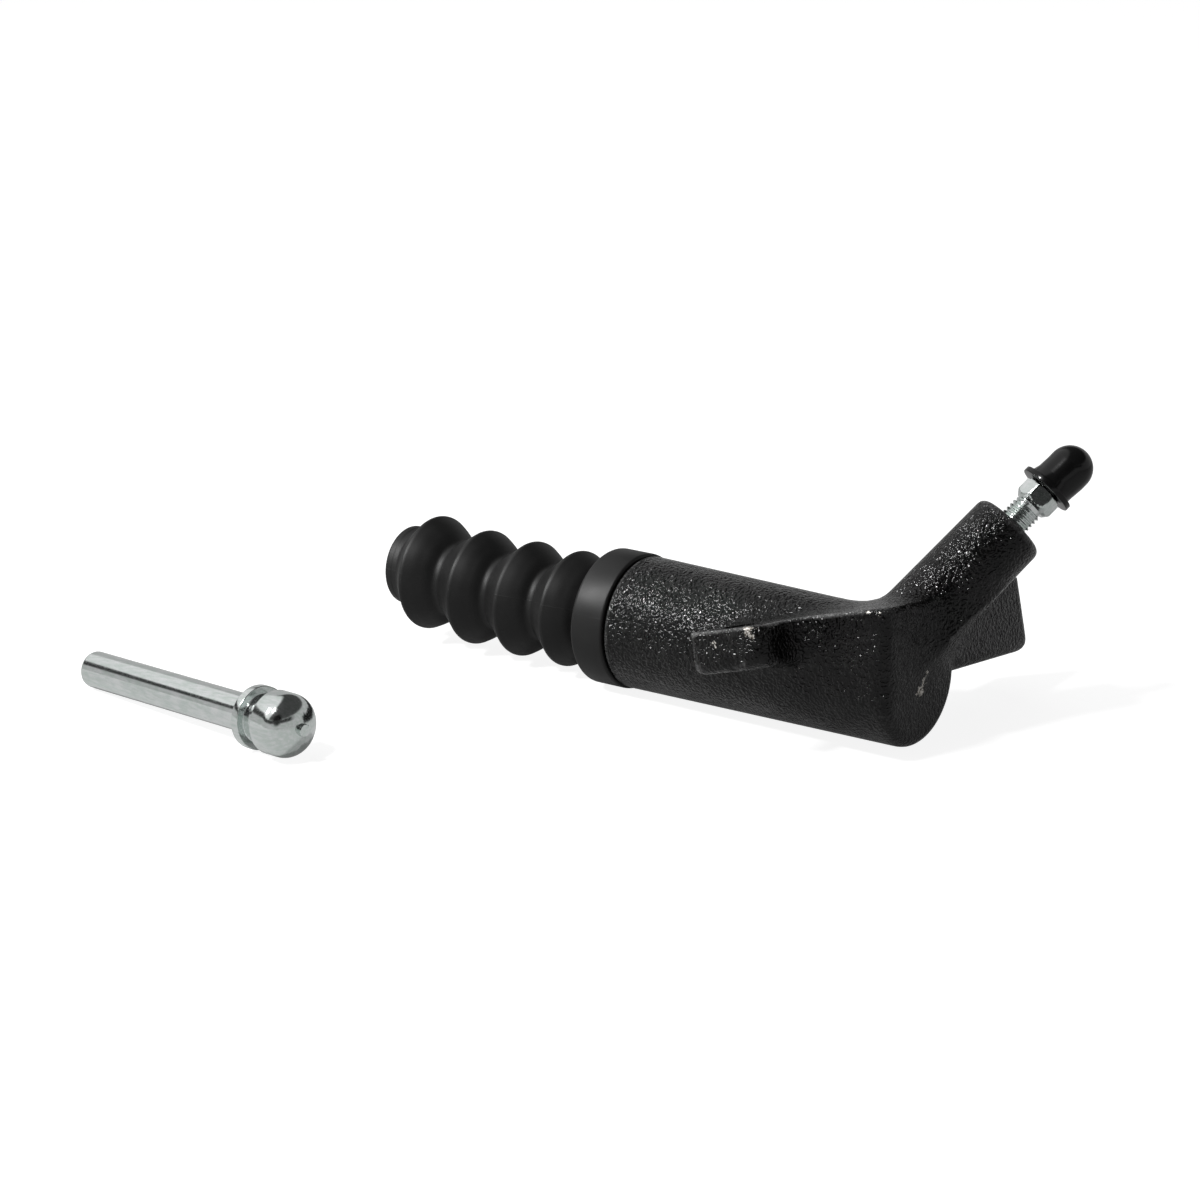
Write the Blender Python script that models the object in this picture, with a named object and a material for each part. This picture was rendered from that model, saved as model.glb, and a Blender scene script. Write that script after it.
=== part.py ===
"""Clutch slave cylinder with its boot on and its push rod lying beside it.

Everything is drawn in the cylinder's own frame: the bore's axis is the X axis,
X = 0 is the outer face of the closed end, the mouth is at minus X, Y runs away
from the front lug and Z is up. An empty carries every part, and stands so that
the middle of the mounting face is the world's origin. All lengths are metres.
"""

import math

import bmesh
import bpy
from mathutils import Matrix, Vector

for old in list(bpy.data.objects):
    bpy.data.objects.remove(old, do_unlink=True)

# Barrel
BORE_RADIUS = 0.009525
BARREL_WALL = 0.005475
BARREL_DRAFT = 0.00089
BARREL_CORNER = 0.0028
BARREL_LENGTH = 0.0735
NOSE_STEP = 0.0014
NOSE_LENGTH = 0.0080
EDGE_BREAK = 0.0005
BARREL_MOUTH_RADIUS = BORE_RADIUS + BARREL_WALL
BARREL_END_RADIUS = BARREL_MOUTH_RADIUS - BARREL_DRAFT
SHOULDER_X = -BARREL_LENGTH
NOSE_RADIUS = BARREL_MOUTH_RADIUS - NOSE_STEP
MOUTH_X = SHOULDER_X - NOSE_LENGTH
END_WALL = 0.0075
BORE_BOTTOM_X = -END_WALL
CENTRE_SPOT_RADIUS = 0.0025
CENTRE_SPOT_DEPTH = 0.0009

# Groove for the boot's bead, and groove for the snap ring
BEAD_GROOVE_PLACE = 0.0027
BEAD_GROOVE_LENGTH = 0.0026
BEAD_GROOVE_DEPTH = 0.0012
RING_GROOVE_PLACE = 0.0038
RING_GROOVE_LENGTH = 0.0018
RING_GROOVE_DEPTH = 0.001075
BEAD_GROOVE_START_X = SHOULDER_X - BEAD_GROOVE_PLACE
BEAD_GROOVE_RADIUS = NOSE_RADIUS - BEAD_GROOVE_DEPTH
RING_GROOVE_START_X = SHOULDER_X - RING_GROOVE_PLACE
RING_GROOVE_RADIUS = BORE_RADIUS + RING_GROOVE_DEPTH

# Mounting face: height over the axis at X = 0, slope along X and slope along Y
FACE_RISE = 0.00472
FACE_HEIGHT = BARREL_END_RADIUS + FACE_RISE
FACE_SLOPE_X = 0.285
FACE_SLOPE_Y = -0.125

# Lugs, given along the mounting face (U), across it (V) and out of it (W)
FRONT_LUG_RIGHT_U = -0.0236
FRONT_LUG_WIDTH = 0.0189
FRONT_LUG_LEFT_U = FRONT_LUG_RIGHT_U - FRONT_LUG_WIDTH
FRONT_LUG_REACH = 0.0127
FRONT_LUG_V = -BARREL_MOUTH_RADIUS - FRONT_LUG_REACH
LUG_THICKNESS = 0.0093
LUG_EDGE_RADIUS = 0.0021
REAR_ARM_RIGHT_U = -0.0064
REAR_ARM_ROOT_WIDTH = 0.0236
REAR_ARM_TIP_WIDTH = 0.0191
REAR_ARM_ROOT_U = REAR_ARM_RIGHT_U - REAR_ARM_ROOT_WIDTH
REAR_ARM_TIP_U = REAR_ARM_RIGHT_U - REAR_ARM_TIP_WIDTH
REAR_ARM_REACH = 0.0368
REAR_ARM_V = BARREL_MOUTH_RADIUS + REAR_ARM_REACH
REAR_ARM_ROOT_DEPTH = 0.0177
REAR_ARM_TIP_DEPTH = 0.0166
REAR_ARM_EDGE_RADIUS = 0.0028
BOLT_HOLE_RADIUS = 0.00425
FRONT_HOLE_INSET = 0.0070
REAR_HOLE_INSET = 0.0103
FRONT_HOLE_U = FRONT_LUG_RIGHT_U - FRONT_LUG_WIDTH / 2
FRONT_HOLE_V = FRONT_LUG_V + FRONT_HOLE_INSET
REAR_HOLE_U = REAR_ARM_RIGHT_U - REAR_ARM_TIP_WIDTH / 2
REAR_HOLE_V = REAR_ARM_V - REAR_HOLE_INSET
SLAB_MARGIN = 0.0040
SLAB_ROOT_V = 0.0040
CORNER_FILL_RADIUS = 0.0070
CORNER_FILL_LAP = 0.0002

# Web that carries the face over the closed end
WEB_LENGTH = 0.0230
WEB_INSET = 0.00009
WEB_FOOT = 0.0030
WEB_X = -WEB_LENGTH
WEB_END_X = -WEB_INSET / 2
WEB_HALF_WIDTH = BARREL_END_RADIUS - WEB_INSET
WEB_HALF_WIDTH_ROOT = WEB_HALF_WIDTH + BARREL_DRAFT * WEB_LENGTH / BARREL_LENGTH
WEB_TOP = FACE_HEIGHT + SLAB_MARGIN

# Bleeder boss: where its axis leaves the bore's axis, and its direction
BOSS_X = -0.01365
BOSS_DIRECTION = (0.4016, 0.6302, 0.6644)
BOSS_END = 0.0444
BOSS_ROOT_RADIUS = 0.0089
BOSS_END_RADIUS = 0.0085
BOSS_EDGE = 0.0017
BLEED_HOLE_RADIUS = 0.0035
BLEED_SEAT_DEPTH = 0.0162
BLEED_SEAT = BOSS_END - BLEED_SEAT_DEPTH
BLEED_PASSAGE_RADIUS = 0.0013
BOSS_FOOT = 0.0040
PASSAGE_START = 0.0060
CUT_MARGIN = 0.0010

# Inlet port on the far side
PORT_X = -0.0340
PORT_BOSS_HEIGHT = 0.0060
PORT_END_Y = BARREL_MOUTH_RADIUS + PORT_BOSS_HEIGHT
PORT_BOSS_RADIUS = 0.0080
PORT_HOLE_RADIUS = 0.0046
PORT_HOLE_DEPTH = 0.0095
PORT_PASSAGE_RADIUS = 0.0015

# Bleeder screw, distances along the boss's axis
SCREW_BARE_THREAD = 0.00485
SCREW_HEX_LENGTH = 0.00535
SCREW_HEX_FLATS = 0.0080
SCREW_NIPPLE_LENGTH = 0.0082
SCREW_HEX_START = BOSS_END + SCREW_BARE_THREAD
SCREW_HEX_END = SCREW_HEX_START + SCREW_HEX_LENGTH
SCREW_NIPPLE_END = SCREW_HEX_END + SCREW_NIPPLE_LENGTH
SCREW_NIPPLE_RADIUS = 0.0027
SCREW_BARB_RADIUS = 0.0033
SCREW_DRILL_RADIUS = 0.0010
SCREW_FLAT_TOWARDS = (0.575, -0.763, 0.295)

# Bleeder cap, distances along the boss's axis
CAP_TOP_WALL = 0.0036
CAP_WALL = 0.0013
CAP_RING_STEP = 0.0010
CAP_RING_LENGTH = 0.0012
CAP_START = SCREW_HEX_END + 0.0002
CAP_BORE_RADIUS = SCREW_BARB_RADIUS + 0.0004
CAP_RADIUS = CAP_BORE_RADIUS + CAP_WALL
CAP_RING_RADIUS = CAP_RADIUS + CAP_RING_STEP

# Boot
BOOT_COLLAR_RISE = 0.0004
BOOT_COLLAR_LENGTH = 0.0089
BOOT_COLLAR_RADIUS = BARREL_MOUTH_RADIUS + BOOT_COLLAR_RISE
BOOT_VALLEY_STEP = 0.0031
BOOT_RIM_PLACES = (0.0190, 0.0321, 0.0458, 0.0600)
BOOT_RIM_X = tuple(SHOULDER_X - place for place in BOOT_RIM_PLACES)
BOOT_RIM_RADIUS = 0.0133
BOOT_GROOVE_RADIUS = 0.0089
BOOT_WALL = 0.0013
BOOT_NECK_LENGTH = 0.0080
BOOT_NECK_END_X = BOOT_RIM_X[-1] - BOOT_NECK_LENGTH
BOOT_NECK_RADIUS = 0.0092
BOOT_NECK_HOLE_RADIUS = 0.0056
BOOT_SAG = (
    (0.0045, 0.0),
    (0.0190, -0.00047),
    (0.0321, -0.00055),
    (0.0458, -0.00030),
    (0.0600, 0.00075),
    (0.0688, 0.00135),
)

# Piston and what is in front of it
PISTON_LENGTH = 0.0185
PISTON_OUTER_X = RING_GROOVE_START_X
PISTON_INNER_X = PISTON_OUTER_X + PISTON_LENGTH
PISTON_SOCKET_RADIUS = 0.0046
CUP_LENGTH = 0.0055
SPRING_WIRE_RADIUS = 0.0006
SPRING_TURNS = 9.5
SNAP_RING_WIDTH = 0.0021
RING_BORE_RADIUS = RING_GROOVE_RADIUS - 0.0003 - SNAP_RING_WIDTH

# Push rod, along its own axis from the rod's rounded end
ROD_RADIUS = 0.00415
ROD_STEP_RADIUS = 0.0048
ROD_DISC_RADIUS = 0.0070
ROD_GROOVE_RADIUS = 0.0053
ROD_HEAD_RADIUS = 0.0070
ROD_LENGTH = 0.0559
ROD_END_EDGE = 0.0009
ROD_STEP_LENGTH = 0.0018
ROD_DISC_LENGTH = 0.0021
ROD_GROOVE_LENGTH = 0.0041
ROD_HEAD_LENGTH = 0.0040
ROD_DOME_HEIGHT = 0.0051
ROD_PIP_RADIUS = 0.0017
ROD_PIP_HEIGHT = 0.0004
GROUND_Z = -0.0154
ROD_END_XY = (-0.1722, -0.0740)
ROD_HEADING_DEG = -8.6

# Clearance kept between pieces that touch in the real part
TOUCH_GAP = 0.0003
BEAD_RADIUS = BEAD_GROOVE_RADIUS + TOUCH_GAP
COLLAR_BORE = NOSE_RADIUS + TOUCH_GAP
SLIDE_RADIUS = BORE_RADIUS - TOUCH_GAP
BOOT_START_X = SHOULDER_X - TOUCH_GAP
CUP_FLOOR_RADIUS = SLIDE_RADIUS - 0.0026
SPRING_COIL_RADIUS = CUP_FLOOR_RADIUS - SPRING_WIRE_RADIUS - 0.0002
CAP_TIP = SCREW_NIPPLE_END + TOUCH_GAP + CAP_TOP_WALL


def face_z(x, y):
    """Height of the mounting face over the point x, y."""
    return FACE_HEIGHT + FACE_SLOPE_X * x + FACE_SLOPE_Y * y


FACE_N = Vector((-FACE_SLOPE_X, -FACE_SLOPE_Y, 1.0)).normalized()
FACE_U = (Vector((1, 0, 0)) - FACE_N * FACE_N.x).normalized()
FACE_V = FACE_N.cross(FACE_U)
FACE_ORIGIN = Vector((0, 0, FACE_HEIGHT))
MOUNT_POINT = Vector((-0.004, -0.007, face_z(-0.004, -0.007)))

frame_empty = bpy.data.objects.new("cylinder_frame", None)
frame_empty.location = -MOUNT_POINT
bpy.context.scene.collection.objects.link(frame_empty)


def basis(origin, z_axis, x_axis):
    """A placing whose local Z is z_axis and whose local X leans to x_axis."""
    z = Vector(z_axis).normalized()
    x = Vector(x_axis)
    x = (x - z * x.dot(z)).normalized()
    y = z.cross(x)
    turn = Matrix((x, y, z)).transposed().to_4x4()
    return Matrix.Translation(Vector(origin)) @ turn


ALONG_X = basis((0, 0, 0), (1, 0, 0), (0, 1, 0))
FACE_PLACE = Matrix.Translation(FACE_ORIGIN) @ Matrix((FACE_U, FACE_V, FACE_N)).transposed().to_4x4()
BOSS_PLACE = basis((BOSS_X, 0, 0), BOSS_DIRECTION, SCREW_FLAT_TOWARDS)
PORT_PLACE = basis((PORT_X, 0, 0), (0, 1, 0), (1, 0, 0))


def material(name, colour, metallic, roughness):
    """One plain surface for one kind of piece."""
    made = bpy.data.materials.new(name)
    made.use_nodes = True
    shader = made.node_tree.nodes["Principled BSDF"]
    shader.inputs["Base Color"].default_value = (*colour, 1.0)
    shader.inputs["Metallic"].default_value = metallic
    shader.inputs["Roughness"].default_value = roughness
    made.diffuse_color = (*colour, 1.0)
    return made


def add(name, mesh, surface, place=None, parent=frame_empty):
    """Put a mesh in the scene under the frame's empty."""
    bpy.context.view_layer.update()
    made = bpy.data.objects.new(name, mesh)
    bpy.context.scene.collection.objects.link(made)
    made.parent = parent
    if place is not None:
        made.matrix_basis = place
    if surface is not None:
        mesh.materials.append(surface)
    return made


def turned_mesh(name, profile, steps, ring=False, smooth=True, start_deg=0.0):
    """Turn a profile of (height, radius) round the local Z axis.

    A plain profile starts and ends on the axis. With ring=True it's a loop
    that stays clear of the axis. A cutter starts at its own angle, so that its
    corners don't fall on those of the piece it cuts.
    """
    shape = bmesh.new()
    rows = []
    for height, radius in profile:
        if radius < 1e-9:
            rows.append([shape.verts.new((0, 0, height))])
            continue
        row = []
        for step in range(steps):
            angle = math.radians(start_deg) + 2 * math.pi * step / steps
            row.append(shape.verts.new((radius * math.cos(angle), radius * math.sin(angle), height)))
        rows.append(row)
    pairs = list(zip(rows, rows[1:]))
    if ring:
        pairs.append((rows[-1], rows[0]))
    for low, high in pairs:
        if len(low) == 1 and len(high) == 1:
            continue
        for step in range(steps):
            after = (step + 1) % steps
            if len(low) == 1:
                shape.faces.new((low[0], high[after], high[step]))
            elif len(high) == 1:
                shape.faces.new((low[step], low[after], high[0]))
            else:
                shape.faces.new((low[step], low[after], high[after], high[step]))
    bmesh.ops.recalc_face_normals(shape, faces=shape.faces)
    for face in shape.faces:
        face.smooth = smooth
    mesh = bpy.data.meshes.new(name)
    shape.to_mesh(mesh)
    shape.free()
    mesh.set_sharp_from_angle(angle=math.radians(32))
    return mesh


def arc(centre_height, centre_radius, radius, start_deg, end_deg, steps):
    """Points of a rounded edge in a profile, angles from plus height to plus radius."""
    points = []
    for step in range(steps + 1):
        angle = math.radians(start_deg + (end_deg - start_deg) * step / steps)
        height = centre_height + radius * math.cos(angle)
        points.append((height, centre_radius + radius * math.sin(angle)))
    return points


def box_mesh(name, low, high, radius, segments=3):
    """A prism between two quads, with every edge rounded but those of its top."""
    shape = bmesh.new()
    under = [shape.verts.new(point) for point in low]
    over = [shape.verts.new(point) for point in high]
    shape.faces.new(list(reversed(under)))
    shape.faces.new(over)
    for index in range(4):
        after = (index + 1) % 4
        shape.faces.new((under[index], under[after], over[after], over[index]))
    bmesh.ops.recalc_face_normals(shape, faces=shape.faces)
    keep = []
    for edge in shape.edges:
        if all(vert in over for vert in edge.verts):
            continue
        keep.append(edge)
    bmesh.ops.bevel(shape, geom=keep, offset=radius, segments=segments, profile=0.5, affect="EDGES")
    for face in shape.faces:
        face.smooth = True
    mesh = bpy.data.meshes.new(name)
    shape.to_mesh(mesh)
    shape.free()
    mesh.set_sharp_from_angle(angle=math.radians(32))
    return mesh


def operand(name, mesh, place=None):
    """A solid that only joins or cuts another one."""
    made = add(name, mesh, None, place)
    made.hide_render = True
    made.display_type = "WIRE"
    return made


def boolean(target, tool, operation):
    """Join, cut or keep what's common, with the exact solver."""
    step = target.modifiers.new(tool.name, "BOOLEAN")
    step.operation = operation
    step.solver = "EXACT"
    step.object = tool


paint = material("body_paint", (0.018, 0.018, 0.019), 0.0, 0.42)
boot_rubber = material("boot_rubber", (0.020, 0.020, 0.021), 0.0, 0.48)
cap_rubber = material("cap_rubber", (0.012, 0.012, 0.013), 0.0, 0.22)
seal_rubber = material("seal_rubber", (0.015, 0.015, 0.015), 0.0, 0.5)
zinc = material("zinc_steel", (0.62, 0.64, 0.63), 1.0, 0.25)
rod_zinc = material("rod_steel", (0.64, 0.65, 0.64), 1.0, 0.22)
piston_metal = material("piston_aluminium", (0.72, 0.72, 0.73), 1.0, 0.35)
spring_steel = material("spring_steel", (0.5, 0.5, 0.5), 1.0, 0.35)
ring_steel = material("ring_steel", (0.3, 0.3, 0.31), 1.0, 0.4)
seat_metal = material("seat_brass", (0.72, 0.55, 0.28), 1.0, 0.35)

# Cylinder body: slab pieces first, cut to one plane, then the turned shapes
front_lug = box_mesh(
    "front_lug",
    [
        (FRONT_LUG_LEFT_U, FRONT_LUG_V, -LUG_THICKNESS),
        (FRONT_LUG_RIGHT_U, FRONT_LUG_V, -LUG_THICKNESS),
        (FRONT_LUG_RIGHT_U, -SLAB_ROOT_V, -LUG_THICKNESS),
        (FRONT_LUG_LEFT_U, -SLAB_ROOT_V, -LUG_THICKNESS),
    ],
    [
        (FRONT_LUG_LEFT_U, FRONT_LUG_V, SLAB_MARGIN),
        (FRONT_LUG_RIGHT_U, FRONT_LUG_V, SLAB_MARGIN),
        (FRONT_LUG_RIGHT_U, -SLAB_ROOT_V, SLAB_MARGIN),
        (FRONT_LUG_LEFT_U, -SLAB_ROOT_V, SLAB_MARGIN),
    ],
    LUG_EDGE_RADIUS,
)
rear_arm = box_mesh(
    "rear_arm",
    [
        (REAR_ARM_ROOT_U, SLAB_ROOT_V / 2, -REAR_ARM_ROOT_DEPTH),
        (REAR_ARM_RIGHT_U, SLAB_ROOT_V / 2, -REAR_ARM_ROOT_DEPTH),
        (REAR_ARM_RIGHT_U, REAR_ARM_V, -REAR_ARM_TIP_DEPTH),
        (REAR_ARM_TIP_U, REAR_ARM_V, -REAR_ARM_TIP_DEPTH),
    ],
    [
        (REAR_ARM_ROOT_U, SLAB_ROOT_V / 2, SLAB_MARGIN),
        (REAR_ARM_RIGHT_U, SLAB_ROOT_V / 2, SLAB_MARGIN),
        (REAR_ARM_RIGHT_U, REAR_ARM_V, SLAB_MARGIN),
        (REAR_ARM_TIP_U, REAR_ARM_V, SLAB_MARGIN),
    ],
    REAR_ARM_EDGE_RADIUS,
)
web = box_mesh(
    "web",
    [
        (WEB_X, -WEB_HALF_WIDTH_ROOT, -WEB_FOOT),
        (WEB_END_X, -WEB_HALF_WIDTH, -WEB_FOOT),
        (WEB_END_X, WEB_HALF_WIDTH, -WEB_FOOT),
        (WEB_X, WEB_HALF_WIDTH_ROOT, -WEB_FOOT),
    ],
    [
        (WEB_X, -WEB_HALF_WIDTH_ROOT, WEB_TOP),
        (WEB_END_X, -WEB_HALF_WIDTH, WEB_TOP),
        (WEB_END_X, WEB_HALF_WIDTH, WEB_TOP),
        (WEB_X, WEB_HALF_WIDTH_ROOT, WEB_TOP),
    ],
    BARREL_CORNER - WEB_INSET,
)


def corner_fill_mesh(name):
    """The rounded inside corner between the front lug's side and the web.

    Each row is a level of it, drawn in the face's frame; the lowest rows draw
    back into the corner, so that its foot is rounded as the lug's edge is.
    """
    shape = bmesh.new()
    foot = -LUG_THICKNESS + CORNER_FILL_LAP
    levels = []
    for step in range(5):
        angle = math.radians(90 * step / 4)
        levels.append((foot + LUG_EDGE_RADIUS * (1 - math.cos(angle)), LUG_EDGE_RADIUS * (1 - math.sin(angle))))
    levels.append((SLAB_MARGIN, 0.0))
    rows = []
    deep = LUG_EDGE_RADIUS + SLAB_MARGIN / 4
    for level, back in levels:
        wall = -WEB_HALF_WIDTH_ROOT - FRONT_LUG_RIGHT_U * FACE_U.y - level * FACE_N.y
        wall = wall / FACE_V.y
        centre_u = FRONT_LUG_RIGHT_U + CORNER_FILL_RADIUS - CORNER_FILL_LAP
        centre_v = wall - CORNER_FILL_RADIUS + 2 * CORNER_FILL_LAP
        row = [
            (centre_u, wall + deep, level),
            (FRONT_LUG_RIGHT_U - deep, wall + deep, level),
            (FRONT_LUG_RIGHT_U - deep, centre_v, level),
        ]
        for step in range(9):
            angle = math.radians(180 - 90 * step / 8)
            reach = CORNER_FILL_RADIUS + back
            row.append((centre_u + reach * math.cos(angle), centre_v + reach * math.sin(angle), level))
        rows.append([shape.verts.new(point) for point in row])
    for low, high in zip(rows, rows[1:]):
        for index in range(len(low)):
            after = (index + 1) % len(low)
            shape.faces.new((low[index], low[after], high[after], high[index]))
    shape.faces.new(list(reversed(rows[0])))
    shape.faces.new(rows[-1])
    bmesh.ops.recalc_face_normals(shape, faces=shape.faces)
    for face in shape.faces:
        face.smooth = True
    mesh = bpy.data.meshes.new(name)
    shape.to_mesh(mesh)
    shape.free()
    mesh.set_sharp_from_angle(angle=math.radians(32))
    return mesh


barrel_slope = (BARREL_MOUTH_RADIUS - BARREL_END_RADIUS) / -SHOULDER_X
corner_radius = BARREL_END_RADIUS + BARREL_CORNER * barrel_slope
barrel_profile = [(0.0, 0.0)]
barrel_profile += arc(-BARREL_CORNER, corner_radius - BARREL_CORNER, BARREL_CORNER, 0, 90, 5)
barrel_profile += [
    (SHOULDER_X + EDGE_BREAK, BARREL_MOUTH_RADIUS),
    (SHOULDER_X, BARREL_MOUTH_RADIUS - EDGE_BREAK),
    (SHOULDER_X, NOSE_RADIUS),
    (BEAD_GROOVE_START_X, NOSE_RADIUS),
    (BEAD_GROOVE_START_X, BEAD_GROOVE_RADIUS),
    (BEAD_GROOVE_START_X - BEAD_GROOVE_LENGTH, BEAD_GROOVE_RADIUS),
    (BEAD_GROOVE_START_X - BEAD_GROOVE_LENGTH, NOSE_RADIUS),
    (MOUTH_X + EDGE_BREAK, NOSE_RADIUS),
    (MOUTH_X, NOSE_RADIUS - EDGE_BREAK),
    (MOUTH_X, 0.0),
]
boss_profile = [(BOSS_FOOT, 0.0), (BOSS_FOOT, BOSS_ROOT_RADIUS)]
boss_profile += list(reversed(arc(BOSS_END - BOSS_EDGE, BOSS_END_RADIUS - BOSS_EDGE, BOSS_EDGE, 0, 90, 5)))
boss_profile += [(BOSS_END, 0.0)]
port_profile = [(PASSAGE_START, 0.0), (PASSAGE_START, PORT_BOSS_RADIUS + EDGE_BREAK / 2)]
port_profile += [(PORT_END_Y - EDGE_BREAK, PORT_BOSS_RADIUS), (PORT_END_Y, PORT_BOSS_RADIUS - EDGE_BREAK)]
port_profile += [(PORT_END_Y, 0.0)]
bore_profile = [
    (BORE_BOTTOM_X, 0.0),
    (BORE_BOTTOM_X, BORE_RADIUS - EDGE_BREAK),
    (BORE_BOTTOM_X - EDGE_BREAK, BORE_RADIUS),
    (RING_GROOVE_START_X, BORE_RADIUS),
    (RING_GROOVE_START_X, RING_GROOVE_RADIUS),
    (RING_GROOVE_START_X - RING_GROOVE_LENGTH, RING_GROOVE_RADIUS),
    (RING_GROOVE_START_X - RING_GROOVE_LENGTH, BORE_RADIUS),
    (MOUTH_X + EDGE_BREAK, BORE_RADIUS),
    (MOUTH_X - CUT_MARGIN, BORE_RADIUS + CUT_MARGIN + EDGE_BREAK),
    (MOUTH_X - CUT_MARGIN, 0.0),
]
bleed_profile = [
    (BOSS_END + CUT_MARGIN, 0.0),
    (BOSS_END + CUT_MARGIN, BLEED_HOLE_RADIUS + 2 * CUT_MARGIN),
    (BOSS_END - CUT_MARGIN, BLEED_HOLE_RADIUS),
    (BLEED_SEAT, BLEED_HOLE_RADIUS),
    (BLEED_SEAT - (BLEED_HOLE_RADIUS - BLEED_PASSAGE_RADIUS), BLEED_PASSAGE_RADIUS),
    (PASSAGE_START, BLEED_PASSAGE_RADIUS),
    (PASSAGE_START, 0.0),
]
port_hole_profile = [
    (PORT_END_Y + CUT_MARGIN, 0.0),
    (PORT_END_Y + CUT_MARGIN, PORT_HOLE_RADIUS + CUT_MARGIN + EDGE_BREAK),
    (PORT_END_Y - EDGE_BREAK, PORT_HOLE_RADIUS),
    (PORT_END_Y - PORT_HOLE_DEPTH, PORT_HOLE_RADIUS),
    (PORT_END_Y - PORT_HOLE_DEPTH - PORT_PASSAGE_RADIUS, PORT_PASSAGE_RADIUS),
    (PASSAGE_START, PORT_PASSAGE_RADIUS),
    (PASSAGE_START, 0.0),
]
spot_profile = [
    (CUT_MARGIN, 0.0),
    (CUT_MARGIN, CENTRE_SPOT_RADIUS * (1 + CUT_MARGIN / CENTRE_SPOT_DEPTH)),
    (-CENTRE_SPOT_DEPTH, 0.0),
]
hole_low = -REAR_ARM_ROOT_DEPTH - CUT_MARGIN
hole_profile = [(hole_low, 0.0), (hole_low, BOLT_HOLE_RADIUS), (CUT_MARGIN, BOLT_HOLE_RADIUS), (CUT_MARGIN, 0.0)]

face_cut = bmesh.new()
bmesh.ops.create_cube(face_cut, size=1.0)
face_cut_mesh = bpy.data.meshes.new("face_cut")
face_cut.to_mesh(face_cut_mesh)
face_cut.free()
face_cut_side = 2 * (REAR_ARM_V + BARREL_LENGTH)
face_cut_height = 2 * (SLAB_MARGIN + WEB_TOP)
face_cut_size = Matrix.Diagonal((face_cut_side, face_cut_side, face_cut_height, 1.0))
face_cut_mesh.transform(Matrix.Translation((0, 0, face_cut_height / 2)) @ face_cut_size)

cylinder_body = add("cylinder_body", web, paint)
joins = (
    ("front_lug_piece", front_lug, FACE_PLACE, "UNION"),
    ("rear_arm_piece", rear_arm, FACE_PLACE, "UNION"),
    ("corner_fill", corner_fill_mesh("corner_fill"), FACE_PLACE, "UNION"),
    ("face_cutter", face_cut_mesh, FACE_PLACE, "DIFFERENCE"),
    ("barrel_piece", turned_mesh("barrel", barrel_profile, 60), ALONG_X, "UNION"),
    ("boss_piece", turned_mesh("boss", boss_profile, 32, start_deg=1.3), BOSS_PLACE, "UNION"),
    ("port_piece", turned_mesh("port", port_profile, 28, start_deg=2.1), PORT_PLACE, "UNION"),
    ("bore_cutter", turned_mesh("bore", bore_profile, 36, start_deg=1.1), ALONG_X, "DIFFERENCE"),
    ("bleed_cutter", turned_mesh("bleed", bleed_profile, 24, start_deg=3.1), BOSS_PLACE, "DIFFERENCE"),
    ("port_cutter", turned_mesh("port_hole", port_hole_profile, 24, start_deg=4.3), PORT_PLACE, "DIFFERENCE"),
    ("spot_cutter", turned_mesh("spot", spot_profile, 16, start_deg=2.3), ALONG_X, "DIFFERENCE"),
    (
        "front_hole_cutter",
        turned_mesh("front_hole", hole_profile, 28, start_deg=1.7),
        FACE_PLACE @ Matrix.Translation((FRONT_HOLE_U, FRONT_HOLE_V, 0)),
        "DIFFERENCE",
    ),
    (
        "rear_hole_cutter",
        turned_mesh("rear_hole", hole_profile, 28, start_deg=1.7),
        FACE_PLACE @ Matrix.Translation((REAR_HOLE_U, REAR_HOLE_V, 0)),
        "DIFFERENCE",
    ),
)
for join_name, join_mesh, join_place, join_kind in joins:
    boolean(cylinder_body, operand(join_name, join_mesh, join_place), join_kind)

# Boot: collar, folds and neck, with its free end lifted a little
collar_end_x = SHOULDER_X - BOOT_COLLAR_LENGTH
groove_x = [collar_end_x - BOOT_VALLEY_STEP]
for first, second in zip(BOOT_RIM_X, BOOT_RIM_X[1:]):
    groove_x.append((first + second) / 2)
groove_x.append(BOOT_RIM_X[-1] - 0.65 * BOOT_NECK_LENGTH)
boot_outer = [
    (BOOT_START_X, BOOT_COLLAR_RADIUS - EDGE_BREAK),
    (BOOT_START_X - EDGE_BREAK, BOOT_COLLAR_RADIUS),
    (collar_end_x + 2 * EDGE_BREAK, BOOT_COLLAR_RADIUS),
    (collar_end_x + EDGE_BREAK, BOOT_COLLAR_RADIUS - EDGE_BREAK / 2),
    (collar_end_x, BOOT_COLLAR_RADIUS - 2 * EDGE_BREAK),
]
boot_inner = [
    (BOOT_START_X, COLLAR_BORE),
    (BEAD_GROOVE_START_X - TOUCH_GAP, COLLAR_BORE),
    (BEAD_GROOVE_START_X - TOUCH_GAP, BEAD_RADIUS),
    (BEAD_GROOVE_START_X - BEAD_GROOVE_LENGTH + TOUCH_GAP, BEAD_RADIUS),
    (BEAD_GROOVE_START_X - BEAD_GROOVE_LENGTH + TOUCH_GAP, COLLAR_BORE),
    (MOUTH_X - TOUCH_GAP, COLLAR_BORE),
]
inner_groove = BOOT_GROOVE_RADIUS - BOOT_WALL
inner_rim = BOOT_RIM_RADIUS - BOOT_WALL
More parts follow.
